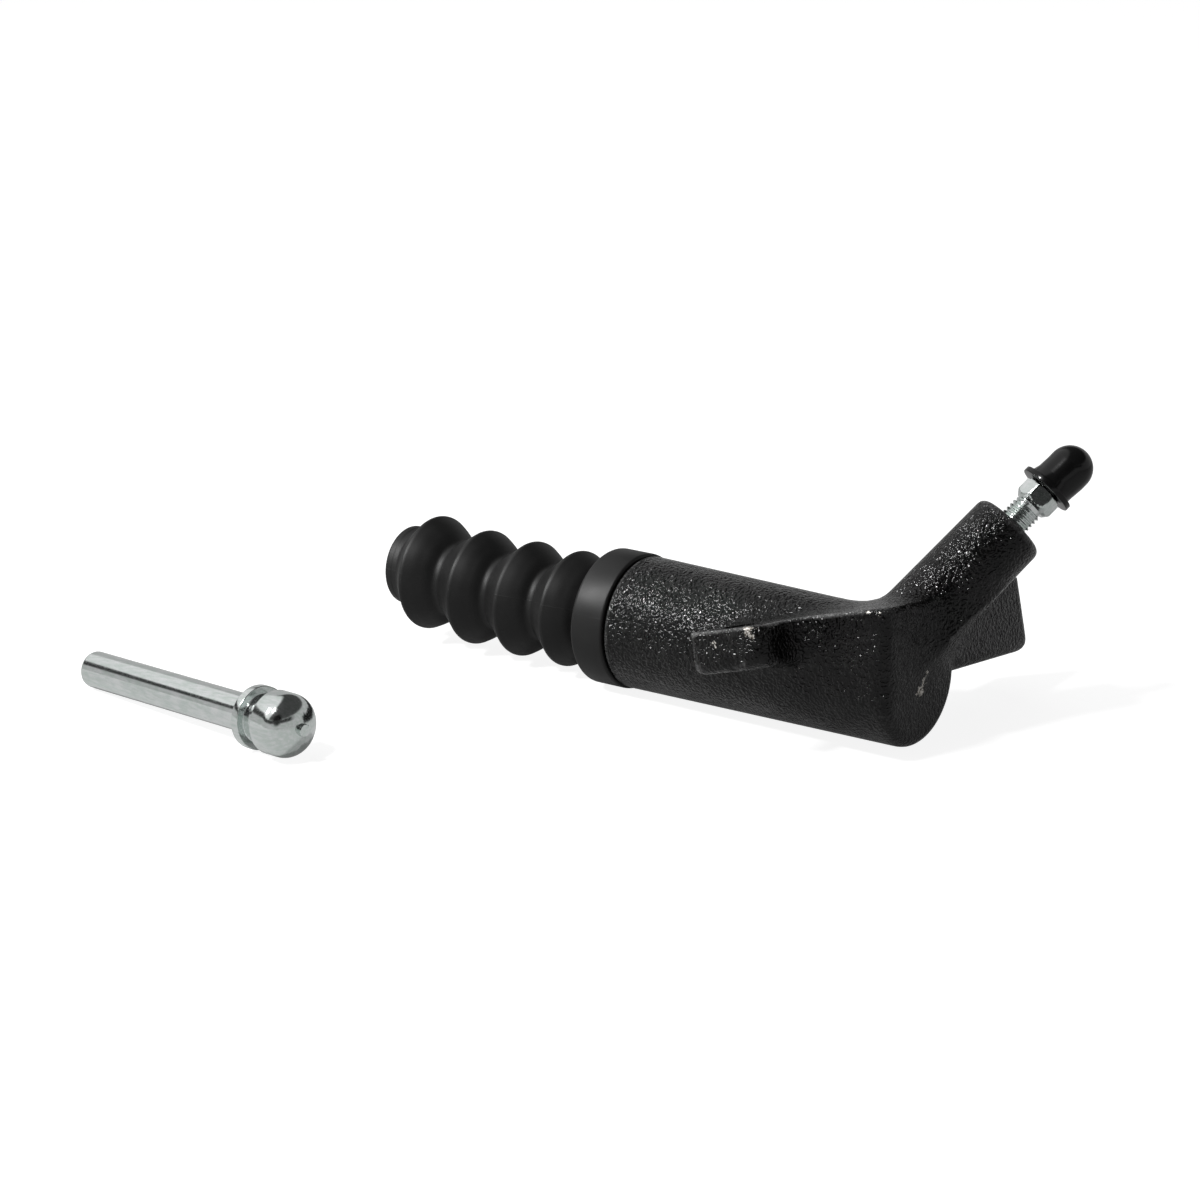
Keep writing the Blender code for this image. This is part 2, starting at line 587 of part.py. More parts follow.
for index, valley in enumerate(groove_x):
    last = index == len(groove_x) - 1
    low = BOOT_GROOVE_RADIUS
    if last:
        low = BOOT_NECK_RADIUS - 0.0010
    boot_outer += [(valley + 0.0009, low + 0.0004), (valley, low), (valley - 0.0009, low + 0.0004)]
    low_inner = low - BOOT_WALL
    boot_inner.append((valley, low_inner))
    if not last:
        rim = BOOT_RIM_X[index]
        boot_outer += [
            (rim + 0.0012, BOOT_RIM_RADIUS - 0.0007),
            (rim + 0.0006, BOOT_RIM_RADIUS - 0.00016),
            (rim, BOOT_RIM_RADIUS),
            (rim - 0.0006, BOOT_RIM_RADIUS - 0.00016),
            (rim - 0.0012, BOOT_RIM_RADIUS - 0.0007),
        ]
        boot_inner.append((rim, inner_rim))
boot_outer[-1] = (groove_x[-1] - 0.0009, BOOT_NECK_RADIUS - 0.0004)
boot_outer += [
    (groove_x[-1] - 0.0013, BOOT_NECK_RADIUS),
    (BOOT_NECK_END_X + 0.0004, BOOT_NECK_RADIUS),
    (BOOT_NECK_END_X, BOOT_NECK_RADIUS - 0.0004),
]
boot_inner += [
    (BOOT_NECK_END_X + 0.34 * BOOT_NECK_LENGTH, BOOT_NECK_HOLE_RADIUS),
    (BOOT_NECK_END_X, BOOT_NECK_HOLE_RADIUS),
]
boot_mesh = turned_mesh("boot", boot_outer + list(reversed(boot_inner)), 34, ring=True)


def sag_at(place):
    """Rise of the boot's centre line at a distance from the shoulder."""
    if place <= BOOT_SAG[0][0]:
        return 0.0
    for (start, low), (end, high) in zip(BOOT_SAG, BOOT_SAG[1:]):
        if place <= end:
            part = (place - start) / (end - start)
            part = part * part * (3 - 2 * part)
            return low + (high - low) * part
    return BOOT_SAG[-1][1]


# In the turned mesh local Z is the cylinder's X, and local X is its Y, so its Z is local Y
for vert in boot_mesh.vertices:
    vert.co.y += sag_at(SHOULDER_X - vert.co.z)
add("dust_boot", boot_mesh, boot_rubber, ALONG_X)

# Piston, with a spherical socket for the rod and a groove for its ring
seal_x = PISTON_INNER_X - 0.0060
seal_groove = 0.0034
piston_profile = [
    (PISTON_INNER_X, 0.0),
    (PISTON_INNER_X, SLIDE_RADIUS - 0.0006),
    (PISTON_INNER_X - 0.0006, SLIDE_RADIUS),
    (seal_x, SLIDE_RADIUS),
    (seal_x, SLIDE_RADIUS - 0.0020),
    (seal_x - seal_groove, SLIDE_RADIUS - 0.0020),
    (seal_x - seal_groove, SLIDE_RADIUS),
    (PISTON_OUTER_X + 0.0006, SLIDE_RADIUS),
    (PISTON_OUTER_X, SLIDE_RADIUS - 0.0006),
    (PISTON_OUTER_X, PISTON_SOCKET_RADIUS + 0.0004),
    (PISTON_OUTER_X + 0.0004, PISTON_SOCKET_RADIUS),
]
socket_x = PISTON_OUTER_X + 0.0030
piston_profile += list(reversed(arc(socket_x, 0.0, PISTON_SOCKET_RADIUS, 0, 90, 6)))
piston_profile[-1] = (socket_x + PISTON_SOCKET_RADIUS, 0.0)
add("piston", turned_mesh("piston", piston_profile, 30), piston_metal, ALONG_X)

seal_profile = [
    (seal_x - TOUCH_GAP, SLIDE_RADIUS - 0.0020 + TOUCH_GAP),
    (seal_x - TOUCH_GAP, SLIDE_RADIUS - 0.0006),
    (seal_x - TOUCH_GAP - 0.0006, SLIDE_RADIUS),
    (seal_x - seal_groove + TOUCH_GAP + 0.0006, SLIDE_RADIUS),
    (seal_x - seal_groove + TOUCH_GAP, SLIDE_RADIUS - 0.0006),
    (seal_x - seal_groove + TOUCH_GAP, SLIDE_RADIUS - 0.0020 + TOUCH_GAP),
]
add("piston_seal", turned_mesh("piston_seal", seal_profile, 30, ring=True), seal_rubber, ALONG_X)

cup_back = PISTON_INNER_X + TOUCH_GAP
cup_front = cup_back + CUP_LENGTH
cup_floor = cup_back + 0.0026
cup_profile = [
    (cup_back, 0.0),
    (cup_back, SLIDE_RADIUS - 0.0008),
    (cup_back + 0.0006, SLIDE_RADIUS - 0.0003),
    (cup_front - 0.0004, SLIDE_RADIUS),
    (cup_front, SLIDE_RADIUS - 0.0004),
    (cup_floor + 0.0005, SLIDE_RADIUS - 0.0021),
    (cup_floor, CUP_FLOOR_RADIUS),
    (cup_floor, 0.0),
]
add("piston_cup", turned_mesh("piston_cup", cup_profile, 30), seal_rubber, ALONG_X)

seat_back = cup_floor + TOUCH_GAP
seat_front = seat_back + 0.0014
seat_profile = [
    (seat_back, 0.0),
    (seat_back, SPRING_COIL_RADIUS + SPRING_WIRE_RADIUS),
    (seat_front, SPRING_COIL_RADIUS + SPRING_WIRE_RADIUS),
    (seat_front, SPRING_COIL_RADIUS - SPRING_WIRE_RADIUS - TOUCH_GAP),
    (seat_front + 0.0035, SPRING_COIL_RADIUS - SPRING_WIRE_RADIUS - TOUCH_GAP - 0.0003),
    (seat_front + 0.0045, SPRING_COIL_RADIUS - SPRING_WIRE_RADIUS - TOUCH_GAP - 0.0012),
    (seat_front + 0.0045, 0.0),
]
add("spring_seat", turned_mesh("spring_seat", seat_profile, 24), seat_metal, ALONG_X)


def coil_mesh(name, start, end, turns, coil_radius, wire_radius, around, sides):
    """A spring whose first and last turns lie close, with rounded wire ends."""
    shape = bmesh.new()
    rows = []
    count = int(round(turns * around))
    for index in range(count + 1):
        turn = index / around
        left = turns - turn
        closed = 1.0
        pitch_close = 2.15 * wire_radius
        inner = max(min(turn - closed, turns - 2 * closed), 0.0)
        active = (end - start - 2 * wire_radius - 2 * closed * pitch_close) / (turns - 2 * closed)
        rise = pitch_close * min(turn, closed) + active * inner
        rise += pitch_close * max(closed - left, 0.0)
        angle = 2 * math.pi * turn
        centre = Vector((coil_radius * math.cos(angle), coil_radius * math.sin(angle), start + wire_radius + rise))
        outward = Vector((math.cos(angle), math.sin(angle), 0))
        row = []
        for side in range(sides):
            around_wire = 2 * math.pi * side / sides
            shift = outward * math.cos(around_wire) + Vector((0, 0, 1)) * math.sin(around_wire)
            row.append(shape.verts.new(centre + shift * wire_radius))
        rows.append(row)
    for low, high in zip(rows, rows[1:]):
        for side in range(sides):
            after = (side + 1) % sides
            shape.faces.new((low[side], low[after], high[after], high[side]))
    shape.faces.new(list(reversed(rows[0])))
    shape.faces.new(rows[-1])
    bmesh.ops.recalc_face_normals(shape, faces=shape.faces)
    for face in shape.faces:
        face.smooth = True
    mesh = bpy.data.meshes.new(name)
    shape.to_mesh(mesh)
    shape.free()
    mesh.set_sharp_from_angle(angle=math.radians(50))
    return mesh


spring_mesh = coil_mesh(
    "return_spring",
    seat_front + TOUCH_GAP,
    BORE_BOTTOM_X - TOUCH_GAP,
    SPRING_TURNS,
    SPRING_COIL_RADIUS,
    SPRING_WIRE_RADIUS,
    16,
    6,
)
add("return_spring", spring_mesh, spring_steel, ALONG_X)


def split_ring_mesh(name, low, high, inner, outer, gap_deg, steps):
    """A flat ring with a gap in it."""
    shape = bmesh.new()
    rows = []
    for index in range(steps + 1):
        angle = math.radians(gap_deg / 2 + (360 - gap_deg) * index / steps)
        row = []
        for radius, height in ((inner, low), (outer, low), (outer, high), (inner, high)):
            row.append(shape.verts.new((radius * math.cos(angle), radius * math.sin(angle), height)))
        rows.append(row)
    for first, second in zip(rows, rows[1:]):
        for side in range(4):
            after = (side + 1) % 4
            shape.faces.new((first[side], first[after], second[after], second[side]))
    shape.faces.new(list(reversed(rows[0])))
    shape.faces.new(rows[-1])
    bmesh.ops.recalc_face_normals(shape, faces=shape.faces)
    mesh = bpy.data.meshes.new(name)
    shape.to_mesh(mesh)
    shape.free()
    return mesh


ring_mesh = split_ring_mesh(
    "snap_ring",
    RING_GROOVE_START_X - RING_GROOVE_LENGTH + TOUCH_GAP,
    RING_GROOVE_START_X - TOUCH_GAP,
    RING_BORE_RADIUS,
    RING_GROOVE_RADIUS - TOUCH_GAP,
    36,
    36,
)
add("snap_ring", ring_mesh, ring_steel, ALONG_X)

# Bleeder screw: cone, thread, hexagon and barbed nipple, drilled from the top
thread_radius = BLEED_HOLE_RADIUS - TOUCH_GAP
seat_gap = BLEED_SEAT + 0.0004
hex_corner = SCREW_HEX_FLATS / 2 / math.cos(math.pi / 6)
screw_profile = [
    (seat_gap - 0.0019, 0.0),
    (seat_gap - 0.0019, thread_radius - 0.0023),
    (seat_gap, thread_radius - 0.0004),
    (seat_gap + 0.0004, thread_radius),
    (SCREW_HEX_START - 0.0010, thread_radius),
    (SCREW_HEX_START - 0.0004, thread_radius - 0.0002),
    (SCREW_HEX_START + 0.0010, thread_radius - 0.0002),
    (SCREW_HEX_END - 0.0006, thread_radius - 0.0002),
    (SCREW_HEX_END - 0.0006, SCREW_NIPPLE_RADIUS),
    (SCREW_NIPPLE_END - 0.0032, SCREW_NIPPLE_RADIUS),
    (SCREW_NIPPLE_END - 0.0026, SCREW_BARB_RADIUS),
    (SCREW_NIPPLE_END - 0.0004, SCREW_NIPPLE_RADIUS - 0.0002),
    (SCREW_NIPPLE_END, SCREW_NIPPLE_RADIUS - 0.0006),
    (SCREW_NIPPLE_END, 0.0),
]
hex_profile = [
    (SCREW_HEX_START, 0.0),
    (SCREW_HEX_START, thread_radius + 0.0004),
    (SCREW_HEX_START + (hex_corner - thread_radius) * 0.6, hex_corner + 0.0001),
    (SCREW_HEX_END - 0.0004, hex_corner + 0.0001),
    (SCREW_HEX_END, hex_corner - 0.0007),
    (SCREW_HEX_END, 0.0),
]
hex_mesh = bpy.data.meshes.new("hex_bar")
hex_shape = bmesh.new()
hex_low = []
hex_high = []
for corner in range(6):
    corner_angle = math.radians(30 + 60 * corner)
    corner_x = hex_corner * math.cos(corner_angle)
    corner_y = hex_corner * math.sin(corner_angle)
    hex_low.append(hex_shape.verts.new((corner_x, corner_y, SCREW_HEX_START - 0.001)))
    hex_high.append(hex_shape.verts.new((corner_x, corner_y, SCREW_HEX_END + 0.001)))
hex_shape.faces.new(list(reversed(hex_low)))
hex_shape.faces.new(hex_high)
for corner in range(6):
    after = (corner + 1) % 6
    hex_shape.faces.new((hex_low[corner], hex_low[after], hex_high[after], hex_high[corner]))
bmesh.ops.recalc_face_normals(hex_shape, faces=hex_shape.faces)
hex_shape.to_mesh(hex_mesh)
hex_shape.free()
drill_bottom = seat_gap + 0.0025
drill_profile = [
    (drill_bottom - 0.0008, 0.0),
    (drill_bottom, SCREW_DRILL_RADIUS),
    (SCREW_NIPPLE_END + 0.001, SCREW_DRILL_RADIUS),
    (SCREW_NIPPLE_END + 0.001, 0.0),
]
cross_profile = [(-0.006, 0.0), (-0.006, 0.0008), (0.006, 0.0008), (0.006, 0.0)]
cross_place = BOSS_PLACE @ Matrix.Translation((0, 0, drill_bottom + 0.0012))
cross_place = cross_place @ Matrix.Rotation(math.radians(90), 4, "X")
bleeder_screw = add("bleeder_screw", turned_mesh("hex_turned", hex_profile, 30, smooth=False, start_deg=1.9), zinc, BOSS_PLACE)
boolean(bleeder_screw, operand("hex_bar_piece", hex_mesh, BOSS_PLACE), "INTERSECT")
boolean(bleeder_screw, operand("screw_piece", turned_mesh("screw", screw_profile, 24, start_deg=0.7), BOSS_PLACE), "UNION")
boolean(bleeder_screw, operand("drill_cutter", turned_mesh("drill", drill_profile, 12, start_deg=3.7), BOSS_PLACE), "DIFFERENCE")
boolean(bleeder_screw, operand("cross_cutter", turned_mesh("cross", cross_profile, 8, start_deg=5.3), cross_place), "DIFFERENCE")

# Bleeder cap: a closed rubber dome with a ring at its foot
cap_profile = [
    (CAP_START, 0.0),
    (CAP_START, CAP_RING_RADIUS - 0.0003),
    (CAP_START + 0.0003, CAP_RING_RADIUS),
    (CAP_START + CAP_RING_LENGTH - 0.0004, CAP_RING_RADIUS),
    (CAP_START + CAP_RING_LENGTH - 0.0001, CAP_RING_RADIUS - 0.0003),
    (CAP_START + CAP_RING_LENGTH, CAP_RADIUS + 0.0001),
    (CAP_START + 0.0030, CAP_RADIUS - 0.0002),
    (CAP_START + 0.0045, CAP_RADIUS - 0.0002),
]
dome_centre = CAP_TIP - CAP_RADIUS
cap_profile += list(reversed(arc(dome_centre, 0.0, CAP_RADIUS, 0, 90, 6)))
cap_profile[-1] = (CAP_TIP, 0.0)
cap_top = SCREW_NIPPLE_END + TOUCH_GAP
cap_inside = [
    (cap_top, 0.0),
    (cap_top, SCREW_NIPPLE_RADIUS),
    (cap_top - 0.0010, CAP_BORE_RADIUS),
]
cap_mesh = turned_mesh("bleeder_cap", cap_profile, 32)
bleeder_cap = add("bleeder_cap", cap_mesh, cap_rubber, BOSS_PLACE)
cap_hole_profile = [(CAP_START - 0.001, 0.0), (CAP_START - 0.001, CAP_BORE_RADIUS)]
cap_hole_profile += list(reversed(cap_inside))
boolean(bleeder_cap, operand("cap_cutter", turned_mesh("cap_hole", cap_hole_profile, 24, start_deg=2.9), BOSS_PLACE), "DIFFERENCE")

# Push rod, lying on the ground beside the cylinder on its head and its end
head_drop = ROD_DISC_RADIUS - ROD_RADIUS
head_at = ROD_LENGTH + ROD_STEP_LENGTH - ROD_END_EDGE
rod_tilt = math.asin(head_drop / head_at)
heading = math.radians(ROD_HEADING_DEG)
rod_axis = Vector(
    (math.cos(rod_tilt) * math.cos(heading), math.cos(rod_tilt) * math.sin(heading), math.sin(rod_tilt))
)
rod_start = Vector((ROD_END_XY[0], ROD_END_XY[1], GROUND_Z + ROD_RADIUS + 0.00002))
ROD_PLACE = basis(rod_start, rod_axis, (0, 0, 1))
rod_profile = [(0.0, 0.0)]
rod_profile += arc(ROD_END_EDGE, ROD_RADIUS - ROD_END_EDGE, ROD_END_EDGE, 180, 90, 4)
step_at = ROD_LENGTH
disc_at = step_at + ROD_STEP_LENGTH
groove_at = disc_at + ROD_DISC_LENGTH
head_start = groove_at + ROD_GROOVE_LENGTH
head_end = head_start + ROD_HEAD_LENGTH
rod_profile += [
    (step_at, ROD_RADIUS),
    (step_at, ROD_STEP_RADIUS),
    (disc_at, ROD_STEP_RADIUS),
    (disc_at, ROD_DISC_RADIUS - 0.0002),
    (disc_at + 0.0002, ROD_DISC_RADIUS),
    (groove_at - 0.0002, ROD_DISC_RADIUS),
    (groove_at, ROD_DISC_RADIUS - 0.0002),
    (groove_at, ROD_GROOVE_RADIUS),
    (head_start, ROD_GROOVE_RADIUS),
    (head_start, ROD_HEAD_RADIUS - 0.0003),
    (head_start + 0.0003, ROD_HEAD_RADIUS),
]
pip_turn = math.asin(ROD_PIP_RADIUS / ROD_HEAD_RADIUS)
for step in range(8):
    turn = math.pi / 2 + (pip_turn - math.pi / 2) * step / 7
    rod_profile.append((head_end + ROD_DOME_HEIGHT * math.cos(turn), ROD_HEAD_RADIUS * math.sin(turn)))
pip_height = head_end + ROD_DOME_HEIGHT * math.cos(pip_turn)
rod_profile += [
    (pip_height + ROD_PIP_HEIGHT - 0.0001, ROD_PIP_RADIUS),
    (pip_height + ROD_PIP_HEIGHT, ROD_PIP_RADIUS - 0.0001),
    (pip_height + ROD_PIP_HEIGHT, 0.0),
]
add("push_rod", turned_mesh("push_rod", rod_profile, 32), rod_zinc, ROD_PLACE)
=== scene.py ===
"""Dress the clutch slave cylinder: casting, boot, bleeder, push rod and studio.

Lengths are metres. Shapes are given in the cylinder's own frame, as in the
part's source: X along the bore out of the closed end, the mouth at minus X,
and Z up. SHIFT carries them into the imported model's frame.
"""

import logging
import math
from dataclasses import dataclass
from enum import Enum

import bmesh
import bpy
import numpy as np
from bpy.types import Camera, Light, Material, Mesh, Node, NodeSocket, NodeTree, Object, World
from mathutils import Matrix, Vector

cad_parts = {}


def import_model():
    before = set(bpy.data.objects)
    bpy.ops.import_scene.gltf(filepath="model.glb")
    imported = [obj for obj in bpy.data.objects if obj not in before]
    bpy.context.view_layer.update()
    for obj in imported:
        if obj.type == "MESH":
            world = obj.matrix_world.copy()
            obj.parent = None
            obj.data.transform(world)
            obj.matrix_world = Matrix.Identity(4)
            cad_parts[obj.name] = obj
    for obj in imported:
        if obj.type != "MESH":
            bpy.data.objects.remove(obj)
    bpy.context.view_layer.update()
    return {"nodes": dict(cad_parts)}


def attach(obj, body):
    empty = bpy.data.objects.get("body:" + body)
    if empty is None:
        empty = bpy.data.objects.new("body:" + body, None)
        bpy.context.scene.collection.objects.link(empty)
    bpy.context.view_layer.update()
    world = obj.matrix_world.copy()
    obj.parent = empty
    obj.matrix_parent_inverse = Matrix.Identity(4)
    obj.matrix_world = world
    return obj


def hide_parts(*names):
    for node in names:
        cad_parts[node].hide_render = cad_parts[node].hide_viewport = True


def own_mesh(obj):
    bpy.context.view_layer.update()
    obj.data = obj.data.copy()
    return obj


LOG = logging.getLogger("slave_cylinder")
SHIFT = Vector((0.004, 0.007, -0.018565))
FACE_HEIGHT = 0.01883
FACE_SLOPE = (0.285, -0.125)
GROUND_Z = -0.0154
BOSS_AXIS = Vector((0.4016, 0.6302, 0.6644))
WELD = 0.000001

Profile = list[tuple[float, float]]
Spot = tuple[float, float, float]
Colour = tuple[float, float, float, float]
Inputs = dict[str | int, object]


def toward(origin: Vector, z_axis: Vector, x_axis: Vector) -> Matrix:
    """Make a placing from a point and two directions.

    Args:
        origin: Where local zero goes, in the cylinder's frame.
        z_axis: Where local Z points.
        x_axis: The side that local X leans to.

    Returns:
        The placing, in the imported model's frame.
    """
    z = z_axis.normalized()
    x = (x_axis - z * x_axis.dot(z)).normalized()
    turn = Matrix((x, z.cross(x), z)).transposed().to_4x4()
    return Matrix.Translation(origin + SHIFT) @ turn


ALONG_X = toward(Vector((0, 0, 0)), Vector((1, 0, 0)), Vector((0, 1, 0)))
BOSS_PLACE = toward(Vector((-0.01365, 0, 0)), BOSS_AXIS, Vector((0.575, -0.763, 0.295)))
PORT_PLACE = toward(Vector((-0.034, 0, 0)), Vector((0, 1, 0)), Vector((1, 0, 0)))
FACE_NORMAL = Vector((-FACE_SLOPE[0], -FACE_SLOPE[1], 1.0)).normalized()
FACE_PLACE = toward(Vector((0, 0, FACE_HEIGHT)), FACE_NORMAL, Vector((1, 0, 0)))


class NodeKit:
    """Adds and joins nodes of one tree."""

    def __init__(self, tree: NodeTree) -> None:
        """Keep the tree that the nodes go into."""
        self.tree = tree

    def feed(self, node: Node, inputs: Inputs) -> None:
        """Give a node its inputs.

        Args:
            node: The node.
            inputs: Values or sockets for its inputs, by name or place.
        """
        for name, value in inputs.items():
            if isinstance(value, NodeSocket):
                self.tree.links.new(value, node.inputs[name])
            else:
                node.inputs[name].default_value = value

    def add(self, kind: str, inputs: Inputs | None = None, **settings: object) -> Node:
        """Add one node.

        Args:
            kind: The node's type name.
            inputs: Values or sockets for its inputs, by name or place.
            settings: Properties to set on the node.

        Returns:
            The new node.
        """
        node = self.tree.nodes.new(kind)
        for name, value in settings.items():
            setattr(node, name, value)
        self.feed(node, inputs or {})
        return node

    def math(self, operation: str, first: object, second: object = 0.0, third: object = 0.0) -> NodeSocket:
        """Join a Math node and return its result."""
        return self.add("ShaderNodeMath", {0: first, 1: second, 2: third}, operation=operation).outputs[0]

    def times(self, first: object, second: object) -> NodeSocket:
        """Multiply two numbers."""
        return self.math("MULTIPLY", first, second)

    def vector(self, operation: str, first: object, second: object, third: object = (0.0, 0.0, 0.0)) -> Node:
        """Join a Vector Math node and return it."""
        return self.add("ShaderNodeVectorMath", {0: first, 1: second, 2: third}, operation=operation)

    def ramp(
        self, factor: object, low: float, high: float, start: float = 0.0, end: float = 1.0
    ) -> NodeSocket:
        """Map low..high to start..end, clamped, and return the result."""
        levels = {0: factor, 1: low, 2: high, 3: start, 4: end}
        return self.add("ShaderNodeMapRange", levels, clamp=True).outputs[0]

    def blend(self, factor: object, first: object, second: object) -> NodeSocket:
        """Mix two colours and return the result."""
        return self.add("ShaderNodeMix", {0: factor, 6: first, 7: second}, data_type="RGBA").outputs[2]

    def noise(self, place: object, scale: float, detail: float, rough: float = 0.5) -> NodeSocket:
        """Add a noise and return its level."""
        levels = {"Vector": place, "Scale": scale, "Detail": detail, "Roughness": rough}
        return self.add("ShaderNodeTexNoise", levels).outputs["Fac"]

    def own(self, place: object) -> dict[str, NodeSocket]:
        """Give a place's X, Y and Z in the cylinder's own frame.

        Args:
            place: The point on the piece.

        Returns:
            The three sockets by name.
        """
        centre = self.vector("SUBTRACT", place, tuple(SHIFT))
        parts = self.add("ShaderNodeSeparateXYZ", {0: centre.outputs[0]})
        return {name: parts.outputs[name] for name in "XYZ"}


def cleared(owner: Material | World) -> NodeKit:
    """Give the node kit of an emptied material or world.

    Args:
        owner: The material or world.
    """
    owner.use_nodes = True
    owner.node_tree.nodes.clear()
    return NodeKit(owner.node_tree)


def grey(level: float, green: float = 1.0, blue: float = 1.0) -> Colour:
    """Give a near grey as four numbers."""
    return (level, level * green, level * blue, 1.0)


@dataclass(frozen=True)
class Finish:
    """What every finish has: a name, and a way to open and to close its material."""

    name: str

    def open(self) -> tuple[Material, NodeKit, NodeSocket]:
        """Start the material.

        Returns:
            The material, its node kit and the point on the piece.
        """
        made = bpy.data.materials.new(self.name)
        made.use_nodes = True
        kit = NodeKit(made.node_tree)
        return made, kit, kit.add("ShaderNodeTexCoord").outputs["Object"]

    def close(
        self, kit: NodeKit, inputs: Inputs, height: NodeSocket, strength: object, distance: float
    ) -> None:
        """Feed the Principled shader and give it its relief.

        Args:
            kit: The material's node kit.
            inputs: The shader's values and sockets by name.
            height: The relief.
            strength: How strong the relief is.
            distance: What a height of one measures.
        """
        bump = kit.add("ShaderNodeBump", {"Height": height, "Strength": strength, "Distance": distance})
        kit.feed(kit.tree.nodes["Principled BSDF"], {**inputs, "Normal": bump.outputs["Normal"]})


@dataclass(frozen=True)
class WrinklePaint(Finish):
    """Black wrinkle paint over cast metal, chipped where it was knocked; its edges are lighter by painted
    highlight and wear, and its wrinkles' valleys darker by painted shade.
    """

    cell: float = 0.00074
    height: float = 0.00032
    parting_height: float = 0.0050
    parting_end: float = -0.049
    tear: float = 0.0056
    bare_spots: tuple[Colour, ...] = ()

    def wrinkles(self, kit: NodeKit, place: NodeSocket) -> NodeSocket:
        """Make the paint's relief.

        Args:
            kit: The material's node kit.
            place: The point on the piece.

        Returns:
            The height, of about one at most.
        """
        bend = kit.add("ShaderNodeTexNoise", {"Vector": place, "Scale": 700.0, "Detail": 2.0})
        shift = kit.vector("MULTIPLY_ADD", bend.outputs["Color"], (0.0009, 0.0009, 0.0009), place)
        levels = {"Vector": shift.outputs[0], "Scale": 1.0 / self.cell, "Smoothness": 0.4}
        cells = kit.add("ShaderNodeTexVoronoi", levels, feature="SMOOTH_F1")
        ridge = kit.math("ABSOLUTE", kit.math("SUBTRACT", kit.noise(place, 760.0, 1.5), 0.5))
        ridge = kit.ramp(ridge, 0.0, 0.12, 1.0, 0.0)
        hills = kit.times(kit.math("SUBTRACT", 1.0, cells.outputs["Distance"]), 0.75)
        hills = kit.math("MULTIPLY_ADD", ridge, 0.45, hills)
        return kit.times(hills, kit.ramp(kit.noise(place, 170.0, 2.0), 0.3, 0.7, 0.6, 1.15))

    def parting(self, kit: NodeKit, place: NodeSocket) -> NodeSocket:
        """Give the step where the mould's halves met, along the barrel's side.

        Args:
            kit: The material's node kit.
            place: The point on the piece.

        Returns:
            One above the step and zero below it.
        """
        own = kit.own(place)
        above = kit.ramp(own["Z"], self.parting_height - 0.0001, self.parting_height + 0.0002)
        front = kit.times(above, kit.math("LESS_THAN", own["Y"], 0.0))
        return kit.times(front, kit.math("LESS_THAN", own["X"], self.parting_end))

    def bare(self, kit: NodeKit, place: NodeSocket) -> NodeSocket:
        """Give where the paint is chipped off, from 0 to 1.

        Args:
            kit: The material's node kit.
            place: The point on the piece.

        Returns:
            The share of bare metal.
        """
        torn = kit.noise(place, 950.0, 4.0, 0.7)
        ragged = kit.math("MULTIPLY_ADD", torn, self.tear, -self.tear / 2)
        bare: object = 0.0
        for x, y, z, size in self.bare_spots:
            gap = kit.vector("DISTANCE", place, tuple(Vector((x, y, z)) + SHIFT))
            reach = kit.math("ADD", gap.outputs["Value"], ragged)
            bare = kit.math("MAXIMUM", bare, kit.ramp(reach, size, size * 0.8))
        return bare

    def make(self) -> Material:
        """Build the paint's material.

        Returns:
            The paint.
        """
        made, kit, place = self.open()
        fine = kit.noise(place, 2600.0, 3.0, 0.6)
        bare = self.bare(kit, place)
        relief = self.wrinkles(kit, place)
        height = kit.math("MULTIPLY_ADD", self.parting(kit, place), 0.9, relief)
        # Convex edges get a lighter grey: painted highlight where sharp edges catch the light, together with
        # paint worn thin.
        edge = kit.add("ShaderNodeAttribute", attribute_name="edge_highlight_and_wear").outputs["Fac"]
        edge_light_and_wear = kit.times(edge, kit.ramp(fine, 0.38, 0.6, 0.35, 1.0))
        # Wrinkle ridges lighter and valleys darker: painted shade in the valleys.
        dark = kit.blend(kit.ramp(relief, 0.45, 0.95), grey(0.0012), grey(0.010, 1.0, 0.95))
        dark = kit.blend(edge_light_and_wear, dark, grey(0.11))
        stain = kit.blend(kit.ramp(fine, 0.42, 0.56), grey(0.07, 0.85, 0.65), grey(0.66, 0.96, 0.90))
        inputs = {
            "Base Color": kit.blend(bare, dark, stain),
            "Metallic": kit.times(bare, 0.6),
            "Roughness": kit.math("MULTIPLY_ADD", bare, 0.25, kit.ramp(fine, 0.3, 0.7, 0.10, 0.17)),
            "IOR": 1.34,
        }
        self.close(kit, inputs, height, kit.math("MULTIPLY_ADD", bare, -0.7, 1.0), self.height)
        return made


@dataclass(frozen=True)
class MouldedRubber(Finish):
    """Black rubber as it leaves the mould, with a bloom and a parting line."""

    level: float = 0.016
    rough: float = 0.42
    grain: float = 0.00002
    seam: bool = False
    seam_angle_deg: float = 15.0

    def make(self) -> Material:
        """Build the rubber's material.

        Returns:
            The rubber.
        """
        made, kit, place = self.open()
        height = kit.noise(place, 3200.0, 3.0)
        cloud = kit.noise(place, 95.0, 3.0)
        if self.seam:
            own = kit.own(place)
            turn = kit.math("ARCTAN2", own["Z"], kit.times(own["Y"], -1.0))
            off = kit.math("ABSOLUTE", kit.math("SUBTRACT", turn, math.radians(self.seam_angle_deg)))
            line = kit.times(kit.ramp(off, 0.012, 0.005), kit.ramp(cloud, 0.42, 0.56))
            height = kit.math("MULTIPLY_ADD", line, 2.2, height)
        bloom = kit.ramp(cloud, 0.35, 0.7)
        inputs = {
            "Base Color": kit.blend(bloom, grey(self.level * 0.75), grey(self.level * 1.5)),
            "Roughness": kit.ramp(cloud, 0.3, 0.7, self.rough - 0.05, self.rough + 0.06),
            "IOR": 1.37,
        }
        self.close(kit, inputs, height, 0.6, self.grain)
        return made


class Grain(Enum):
    """Which way a metal's fine marks run."""

    ROUND = "turned"
    PLAIN = "plated"


